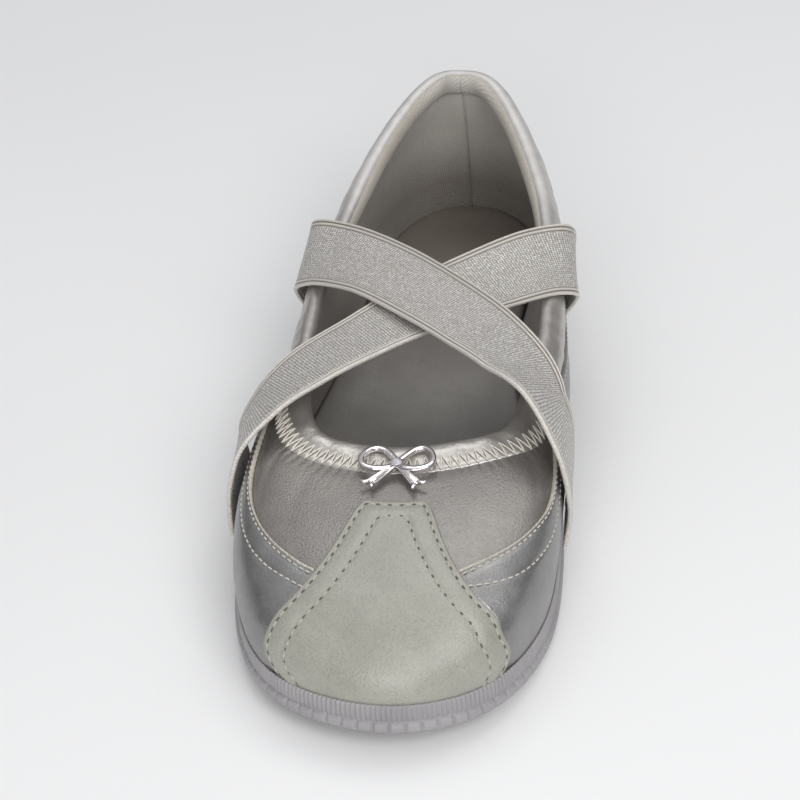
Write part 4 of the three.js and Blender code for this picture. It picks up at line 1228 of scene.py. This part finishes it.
def make_zigzag(looks):
    """Cream thread round the throat, each leg running across the seam."""
    reach = ZIGZAG_REACH - 0.004
    start, end = throat_distance(-reach), throat_distance(reach)
    count = int((end - start) / (ZIGZAG_PITCH / 2))
    travel = start + np.arange(count) * ZIGZAG_PITCH / 2
    place = np.interp(travel, throat_travel, fine_rounds)
    distance = np.where(np.arange(count) % 2 == 0, ZIGZAG_HIGH, ZIGZAG_LOW)
    up = up_below_top(place, distance)
    heights = np.where(distance == ZIGZAG_HIGH, ZIGZAG_ON_BINDING, ZIGZAG_ON_VAMP)
    points = above(place, up, heights)
    outs = directions(place, up)[2]
    rings, faces = [], []
    around = 7
    start_index = 0
    for k in range(count - 1):
        a, b = points[k], points[k + 1]
        normal = unit(outs[k] + outs[k + 1])
        run = unit(b - a)
        aside = np.cross(normal, run)
        shares = np.linspace(0.02, 0.98, 7)
        for share in shares:
            lift = 0.2 * math.sin(math.pi * share) - 0.1
            centre = lerp(a, b, share) + normal * lift
            thick = ZIGZAG_THICK / 2 * math.sqrt(max(0.15, 1 - abs(2 * share - 1) ** 4))
            for j in range(around):
                angle = 2 * math.pi * j / around
                spread = aside * math.cos(angle) + normal * math.sin(angle)
                rings.append(centre + spread * thick)
        index = np.arange(len(shares) * around).reshape(len(shares), around) + start_index
        index = np.concatenate([index, index[:, :1]], 1)
        faces.append(quads(index))
        half = around // 2 + 1
        for ring, turn in ((index[0, :around], 1), (index[-1, :around], -1)):
            strip = np.stack([ring[:half], np.roll(ring[::-1], 1)[:half]])
            faces.append(quads(strip)[:, ::turn])
        start_index += len(shares) * around
    piece = finish_mesh("throat_zigzag", np.array(rings), np.concatenate(faces),
                        looks["zigzag"].material)


# The elastic bands


def catmull_rom(points, share):
    """The CAD source's curve through the rows: centripetal, at an even share of its rows."""
    points = np.asarray(points, float)
    last = len(points) - 1
    place = last * share
    i = min(int(place), last - 1)
    s = place - i
    p1, p2 = points[i], points[i + 1]
    p0 = points[i - 1] if i > 0 else 2 * points[0] - points[1]
    p3 = points[i + 2] if i + 2 <= last else 2 * points[last] - points[last - 1]
    d0, d1, d2 = (math.sqrt(np.linalg.norm(b - a)) for a, b in ((p0, p1), (p1, p2), (p2, p3)))
    d1 = d1 if d1 > 1e-4 else 1.0
    d0 = d0 if d0 > 1e-4 else d1
    d2 = d2 if d2 > 1e-4 else d1
    t1 = ((p1 - p0) / d0 - (p2 - p0) / (d0 + d1) + (p2 - p1) / d1) * d1
    t2 = ((p2 - p1) / d1 - (p3 - p1) / (d1 + d2) + (p3 - p2) / d2) * d1
    return (
        p1
        + t1 * s
        + (-3 * p1 + 3 * p2 - 2 * t1 - t2) * s**2
        + (2 * p1 - 2 * p2 + t1 + t2) * s**3
    )


def band_centre(row):
    if "at" in row:
        along, across, height = row["at"]
        return np.array([across * BALL_WIDTH, (along - 0.5) * SOLE_LENGTH, height * HEEL_HEIGHT])
    place = np.array(row["round"])
    up = row["up"]
    if up == "lip":
        up = up_at_height(place, lip_height(place) + BAND_END_CLEAR)
    return above(place, np.array(float(up)), OVERLAY_HIGH + BAND_LIFT + BAND_THICK / 2)


def band_profile():
    """The band's section from edge to edge: width, half thickness, edge or body, cord or groove."""
    half = BAND_WIDTH / 2
    thin = BAND_THICK / 2
    inset = ((0.0, 0.2, 1), (0.1, 0.5, 1), (0.35, 0.68, 1), (0.6, 0.6, 1), (0.8, 0.36, 0.1),
             (0.98, 0.3, 0.0), (1.14, 0.36, 0.2), (1.35, 0.6, 1), (1.6, 0.66, 1), (1.85, 0.56, 0.8),
             (2.02, 0.36, 0.1), (2.2, 0.34, 0.1))
    edge = [(half - step, thin * high / 0.7, 1.0, cord) for step, high, cord in inset]
    inner = half - 2.45
    body = [(width, thin * 0.72, 0.0, 1.0) for width in np.linspace(inner, -inner, 27)]
    return edge + body + [(-w, t, e, c) for w, t, e, c in edge[::-1]]


def make_band(name, looks):
    rows = BANDS[name]
    centres = [band_centre(row) for row in rows]
    rears = [row["rear"] for row in rows]
    stations = 230
    step = 1e-4
    profile = band_profile()
    section = profile + [(w, -t, e, c) for w, t, e, c in profile[::-1]]
    rings, uv = [], []
    travelled = 0.0
    before = None
    for k in range(stations):
        share = k / (stations - 1)
        middle = catmull_rom(centres, share)
        ahead = catmull_rom(centres, min(1, share + step))
        behind = catmull_rom(centres, max(0, share - step))
        tangent = unit(ahead - behind)
        rear = catmull_rom(rears, share)
        rear = unit(rear - tangent * rear.dot(tangent))
        face = np.cross(tangent, rear)
        if before is not None:
            travelled += np.linalg.norm(middle - before)
        before = middle
        rings.append([middle + rear * w + face * t for w, t, _, _ in section])
        uv.append([(travelled, w) for w, _, _, _ in section])
    uv = np.array(uv).reshape(-1, 2)
    attributes = {
        "edge": np.tile([e for _, _, e, _ in section], stations),
        "cord": np.tile([c for _, _, _, c in section], stations),
    }
    piece = ring_tube(name + "_elastic", rings, looks["elastic"].material, uv=uv,
                      attributes=attributes, ends=True)
    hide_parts(name)


# The bow


def on_throat(points):
    """Lays flat points on the throat's front: x across, y towards the topline, z out."""
    points = np.asarray(points, float)
    up = up_below_top(np.array([BOW_ROUND]), BOW_BELOW_TOP)[0]
    _, _, _, per_round, per_up = directions(BOW_ROUND, up)
    place = BOW_ROUND - points[..., 0] / per_round
    height = np.minimum(1, up + points[..., 1] / per_up)
    return above(place, height, OVERLAY_HIGH + GAP + points[..., 2])


def wire_tube(name, path, wide, deep, looks):
    """A flat-oval wire along a path of flat points, then laid on the throat."""
    path = np.asarray(path, float)
    rings = []
    for k in range(len(path)):
        tangent = unit(path[min(k + 1, len(path) - 1)] - path[max(k - 1, 0)])
        aside = unit(np.cross(tangent, (0, 0, 1)))
        ring = []
        for angle in np.linspace(0, 2 * math.pi, 16, endpoint=False):
            flat = np.sign(math.cos(angle)) * abs(math.cos(angle)) ** 0.8
            tall = np.sign(math.sin(angle)) * abs(math.sin(angle)) ** 0.8
            ring.append(path[k] + aside * flat * wide / 2 + np.array([0, 0, 1]) * tall * deep / 2)
        rings.append(on_throat(np.array(ring)))
    return ring_tube(name, rings, looks["metal"].material, ends=True)


def make_bow(looks):
    pieces = []
    for side in (1, -1):
        last = len(BOW_LOOP) - 1
        flat = [(side * x * BOW_WIDTH, y * BOW_WIDTH, 0.6 + 0.5 * math.sin(math.pi * k / last))
                for k, (x, y) in enumerate(BOW_LOOP)]
        path = [catmull_rom(flat, share) for share in np.linspace(0, 1, 70)]
        label = "left" if side == 1 else "right"
        pieces.append(wire_tube("bow_loop_" + label, path, WIRE_WIDE, WIRE_DEEP, looks))
        pieces.append(bow_tail("bow_tail_" + label, side, looks))
        for hand, end in ((1, "upper"), (-1, "lower")):
            pieces.append(bow_prong("bow_prong_" + label + "_" + end, side, hand, looks))
    pieces.append(bow_knot(looks))
    for piece in pieces:
        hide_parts("bow")


def bow_tail(name, side, looks):
    """A flat tail that widens from the knot to its notched end."""
    run = unit(np.array([side * TAIL_WAY[0], TAIL_WAY[1], 0.0]))
    aside = np.array([-run[1], run[0], 0.0])
    along = np.linspace(0.0, 1.0, 24)
    across = np.linspace(-1, 1, 15)
    top = np.empty((len(along), len(across), 3))
    for i, a in enumerate(along):
        half = lerp(*TAIL_HALF, a**1.2)
        for j, b in enumerate(across):
            fork = 0.9 * a**4 * (1 - abs(b) ** 1.6)
            rim = 0.2 * abs(b) ** 4 + 0.15 * math.sin(math.pi * a)
            top[i, j] = run * (a * TAIL_LENGTH - fork) + aside * b * half
            top[i, j, 2] = 0.85 + rim - 0.25 * a
    bottom = top.copy()
    bottom[..., 2] -= 0.8
    return shell(name, on_throat(top), on_throat(bottom), looks["metal"].material)


def bow_prong(name, side, hand, looks):
    """One of a tail's two curled ends."""
    run = unit(np.array([side * TAIL_WAY[0], TAIL_WAY[1], 0.0]))
    aside = np.array([-run[1], run[0], 0.0]) * hand
    path = []
    for share in np.linspace(0, 1, 14):
        turn = share * 1.9
        point = run * (TAIL_LENGTH - 1.4 + 1.5 * math.sin(turn))
        point += aside * (0.7 + 0.75 * (1 - math.cos(turn)))
        point[2] = 0.62 + 0.1 * math.sin(math.pi * share)
        path.append(point)
    return wire_tube(name, path, PRONG, PRONG, looks)


def bow_knot(looks):
    rings = []
    for a in np.linspace(0.04, 0.96, 12) * math.pi:
        radius = math.sin(a) * 1.75
        height = 0.9 - math.cos(a) * 0.9
        rings.append([(radius * math.cos(b), radius * math.sin(b) * 0.9, height)
                      for b in np.linspace(0, 2 * math.pi, 24, endpoint=False)])
    return ring_tube("bow_knot", on_throat(np.array(rings)), looks["metal"].material, ends=True)


def make_crystal(looks):
    """A brilliant-cut stone on the knot: a flat table, a crown of facets and a girdle."""
    radius = CRYSTAL / 2
    base = 1.95
    levels = ((0.55, 0.0), (1.0, 0.5), (1.0, 0.62), (0.82, 0.86), (0.55, 1.05), (0.05, 1.05))
    rings = []
    for k, (share, height) in enumerate(levels):
        turn = math.pi / 8 if k % 2 else 0.0
        rings.append([
            (radius * share * math.cos(b + turn),
             radius * share * math.sin(b + turn) - CRYSTAL_DROP, base + height)
            for b in np.linspace(0, 2 * math.pi, 8, endpoint=False)
        ])
    piece = ring_tube("bow_stone", on_throat(np.array(rings)), looks["stone"].material, ends=True)
    piece.data.shade_flat()
    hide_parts("bow_crystal")


# The sole

# The side from the tread up to the ribbed bead: mm beyond the outline, share of the side's height
# there, and how much of the blocks and of the ribs each row takes
SIDE_ROWS = (
    (-4.0, 0.02, 0, 0),
    (-TREAD_INSET, 0.0, 0, 0),
    (-0.9, 0.025, 0.1, 0),
    (-0.1, 0.07, 0.25, 0),
    (0.42, 0.13, 0.5, 0),
    (0.7, 0.19, 0.8, 0),
    (BUMPER_STEP, 0.25, 1, 0),
    (BUMPER_STEP, 0.31, 1, 0),
    (0.76, 0.36, 1, 0),
    (0.64, 0.4, 0.9, 0),
    (0.42, 0.43, 0.6, 0),
    (0.1, 0.45, 0.2, 0),
    (-0.12, 0.462, 0, 0.2),
    (-0.12, 0.48, 0, 0.7),
    (0.02, 0.51, 0, 1),
    (0.1, 0.56, 0, 1),
    (0.12, 0.63, 0, 1),
    (0.1, 0.71, 0, 1),
    (0.04, 0.78, 0, 1),
)
BEAD_START = 0.84
BEAD_TURNS = (0.0, 0.17, 0.34, 0.5, 0.66, 0.82)
RIB_PITCH = 1.25
RIB_DEPTH = 0.62
RIBS_END = (0.13, 0.2)  # rounds over which the ribs fade


def make_outsole(looks):
    count = 2360
    places, travelled = even_rounds(count + 1)
    place, travelled = places[:-1], travelled[:-1]
    apart = np.abs(np.mod(place + 0.5, 1) - 0.5)
    from_tip = np.where(place < 0.5, travelled, travelled - travelled[-1] - travelled[1])
    ribs = 0.5 - 0.5 * np.cos(2 * math.pi * from_tip / RIB_PITCH)
    ribs = (ribs**0.7 - 0.75) * RIB_DEPTH * (1 - smooth(apart, *RIBS_END))
    phase = np.mod(from_tip / BLOCK_PITCH + 0.5, 1) - 0.5
    notch = bump(np.abs(np.abs(phase) - 0.5) * BLOCK_PITCH, BLOCK_GAP * 0.5)
    fades = 1 - smooth(apart, BLOCKS_REACH, BLOCKS_REACH + 0.02)
    along = section_at(place)["along"]
    low, high = ground_line(along), bed_height(along) + LIP_RISE
    out = outward(place)

    def ring_at(beyond, share):
        ring = outline(place) + out * np.asarray(beyond)[..., None]
        ring[:, 2] = lerp(low, high, share)
        return ring

    rings = []
    for beyond, share, blocks, ribbed in SIDE_ROWS:
        # The blocks' upper corners are rounded
        rounder = 1 + 2.2 * smooth(share, 0.33, 0.45)
        cut = np.clip(notch * rounder, 0, 1.2) * BLOCK_NOTCH * fades
        rings.append(ring_at(beyond - cut * blocks + ribs * ribbed, share))
    leather_side = above(place, up_at_height(place, high), np.full(place.shape, OVERLAY_HIGH))
    meets = ((leather_side - outline(place)) * out).sum(-1) - 0.15
    meets = np.clip(meets, -2.2, -0.55)
    middle = meets / 2
    for turn in BEAD_TURNS:
        angle = math.pi * turn
        beyond = middle - middle * math.cos(angle)
        rise = lerp(BEAD_START, 1.0, math.sin(angle) ** 0.8)
        rings.append(ring_at(beyond + ribs * (1 - 1.1 * turn), rise))
    for share in (0.8, 0.4, 0.0):
        height = lerp(bed_height(along), lip_height(place), share)
        ring = above(place, up_at_height(place, height), np.full(place.shape, 0.12))
        ring[:, 2] = height
        rings.append(ring)
    foot = outline(place) - out * 4.0
    rings.append(foot + up_vector(bed_height(along)))
    piece = ring_tube("sole_wall", np.array(rings), looks["rubber"].material)
    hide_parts("outsole")


def strips(inset, stations, across):
    """Places across the sole from its little-toe edge to its big-toe edge, drawn in by an inset."""
    place = np.linspace(0.0015, 0.4985, stations)
    left = outline(place) - outward(place) * inset
    right = outline(1 - place) - outward(1 - place) * inset
    share = np.linspace(0, 1, across)[None, :, None]
    return left[:, None] * (1 - share) + right[:, None] * share


def make_tread(looks):
    grid = strips(3.4, 700, 25)
    along = grid[..., 1] / SOLE_LENGTH + 0.5
    height = ground_line(np.clip(along, 0, 1))
    pitch = GROOVE_PITCH / SOLE_LENGTH
    for start, end in GROOVED:
        for middle in np.arange(start, end, pitch):
            apart = np.abs(along - middle) * SOLE_LENGTH
            height += GROOVE_DEPTH * (1 - smooth(apart, GROOVE_WIDTH / 2 - 0.4, GROOVE_WIDTH / 2))
    fine = 0.5 + 0.5 * np.sin(2 * math.pi * grid[..., 1] / 2.0)
    height += 0.25 * fine * smooth(np.abs(along - 0.585), 0.12, 0.15)
    lower = grid.copy()
    lower[..., 2] = height + 0.02
    upper = grid.copy()
    upper[..., 2] = bed_height(np.clip(along, 0, 1))
    piece = shell("sole_tread", upper, lower, looks["rubber"].material)
    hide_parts("outsole")


def make_insole(looks):
    place = np.linspace(0.002, 0.498, 240)
    left = surface(place, np.zeros_like(place)) - outward(place) * (INSOLE_INSET - 0.6)
    right = surface(1 - place, np.zeros_like(place)) - outward(1 - place) * (INSOLE_INSET - 0.6)
    edge = np.array([0.0, 0.002, 0.006, 0.012, 0.02])
    share = np.concatenate([edge, np.linspace(0.035, 0.965, 60), 1 - edge[::-1]])
    grid = left[:, None] * (1 - share[None, :, None]) + right[:, None] * share[None, :, None]
    along = grid[..., 1] / SOLE_LENGTH + 0.5
    width = np.linalg.norm(right - left, axis=1)[:, None]
    from_side = np.minimum(share, 1 - share)[None, :] * width
    from_end = np.minimum(grid[..., 1] - grid[0, 0, 1], grid[-1, 0, 1] - grid[..., 1])
    inside = np.minimum(from_side, np.maximum(from_end, 0))
    shoulder = np.sqrt(np.clip(1 - (1 - np.clip(inside / 1.4, 0, 1)) ** 2, 0, 1))
    dish = INSOLE_DISH * smooth(inside, 2.0, 14.0)
    wave = 0.12 * np.sin(grid[..., 1] * 0.11 + grid[..., 0] * 0.05)
    wave += 0.08 * np.sin(grid[..., 0] * 0.17 - grid[..., 1] * 0.07 + 2)
    bed = bed_height(np.clip(along, 0, 1)) + GAP
    upper = grid.copy()
    upper[..., 2] = bed + INSOLE_THICK - 1.3 * (1 - shoulder) - dish + wave * smooth(inside, 1, 9)
    lower = grid.copy()
    lower[..., 2] = bed
    piece = shell("insole_leather_top", upper, lower, looks["insole"].material)
    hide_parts("insole")


# Camera, light and floor


def make_camera():
    """The photograph's camera, turned about its own place until the one shoe is in the middle."""
    ahead = np.array([
        math.sin(CAMERA_YAW) * math.cos(CAMERA_DOWN),
        math.cos(CAMERA_YAW) * math.cos(CAMERA_DOWN),
        -math.sin(CAMERA_DOWN),
    ])
    right = np.array([math.cos(CAMERA_YAW), -math.sin(CAMERA_YAW), 0.0])
    upright = np.cross(right, ahead)
    across = SHOE_MIDDLE[0] - PHOTO_SIZE / 2
    down = SHOE_MIDDLE[1] - PHOTO_SIZE / 2
    target = unit(ahead * PHOTO_FOCAL + right * across - upright * down)
    turn = Vector(ahead).rotation_difference(Vector(target)).to_matrix()
    axes = Matrix([turn @ Vector(right), turn @ Vector(upright), -(turn @ Vector(ahead))])
    data = bpy.data.cameras.new("camera")
    data.sensor_width = SENSOR
    data.sensor_height = SENSOR
    data.sensor_fit = "HORIZONTAL"
    data.lens = SENSOR * PHOTO_FOCAL * CLOSER / PHOTO_SIZE
    data.clip_start = 0.01
    data.clip_end = 20
    camera = bpy.data.objects.new("camera", data)
    place = Vector((CAMERA_AT + SHIFT) * MM)
    camera.matrix_world = Matrix.Translation(place) @ axes.transposed().to_4x4()
    bpy.context.scene.collection.objects.link(camera)
    bpy.context.scene.camera = camera


LAMPS = (
    # place, size and strength; each looks at the shoe
    ((0.5, -0.7, 0.85), (0.6, 0.6), 4.4),
    ((0.0, -1.15, 0.5), (0.7, 0.4), 5.0),
    ((0.1, 0.45, 1.05), (0.9, 0.4), 2.6),
)


LAMPS_AIM = (0, 0, 0.03)


def make_lights():
    for k, (place, size, power) in enumerate(LAMPS):
        data = bpy.data.lights.new("soft_light_%d" % k, "AREA")
        data.shape = "RECTANGLE"
        data.size, data.size_y = size
        data.energy = power
        lamp = bpy.data.objects.new(data.name, data)
        lamp.location = place
        aim = Vector(LAMPS_AIM) - Vector(place)
        lamp.rotation_euler = aim.to_track_quat("-Z", "Y").to_euler()
        bpy.context.scene.collection.objects.link(lamp)
    bpy.context.scene.view_settings.view_transform = "Standard"


# The studio's sky: dimmer at the horizon, so that foil and metal show their rounding
SKY_LOW = 0.06
SKY_HIGH = 0.75
SKY_LOW_TO = 0.25
SKY_HIGH_AT = 0.9


def make_sky():
    world = bpy.data.worlds.new("studio")
    world.use_nodes = True
    tree = world.node_tree
    back = tree.nodes["Background"]
    back.inputs["Color"].default_value = (0.97, 0.98, 1.0, 1)
    split = tree.nodes.new("ShaderNodeSeparateXYZ")
    ramp = tree.nodes.new("ShaderNodeMapRange")
    place = tree.nodes.new("ShaderNodeTexCoord")
    tree.links.new(place.outputs["Generated"], split.inputs[0])
    tree.links.new(split.outputs["Z"], ramp.inputs["Value"])
    tree.links.new(ramp.outputs["Result"], back.inputs["Strength"])
    ramp.inputs["From Min"].default_value = SKY_LOW_TO
    ramp.inputs["From Max"].default_value = SKY_HIGH_AT
    ramp.inputs["To Min"].default_value = SKY_LOW
    ramp.inputs["To Max"].default_value = SKY_HIGH
    bpy.context.scene.world = world


def make_floor():
    look = Look("floor", (0.86, 0.86, 0.86), 0.7)
    cloud = look.ramp(look.noise(3.0), 0.4, 0.6)
    look.color(look.mix(cloud, (0.85, 0.85, 0.85), (0.87, 0.87, 0.87)))
    size = 6.0
    mesh = bpy.data.meshes.new("floor")
    corners = [(-size, -size, 0), (size, -size, 0), (size, size, 0), (-size, size, 0)]
    mesh.from_pydata(corners, [], [(0, 1, 2, 3)])
    mesh.materials.append(look.material)
    floor = bpy.data.objects.new("floor", mesh)
    bpy.context.scene.collection.objects.link(floor)


def make_shoe():
    looks = make_looks()
    make_outsole(looks)
    make_tread(looks)
    make_insole(looks)
    make_vamp(looks)
    make_lining(looks)
    make_binding(looks)
    make_cap(looks)
    for side in (1, -1):
        make_panel(side, looks)
        make_raw_edge(side, looks)
    make_threads(looks)
    make_zigzag(looks)
    for name in BANDS:
        make_band(name, looks)
    make_bow(looks)
    make_crystal(looks)


make_camera()
make_lights()
make_sky()
make_floor()
make_shoe()

bpy.context.view_layer.update()
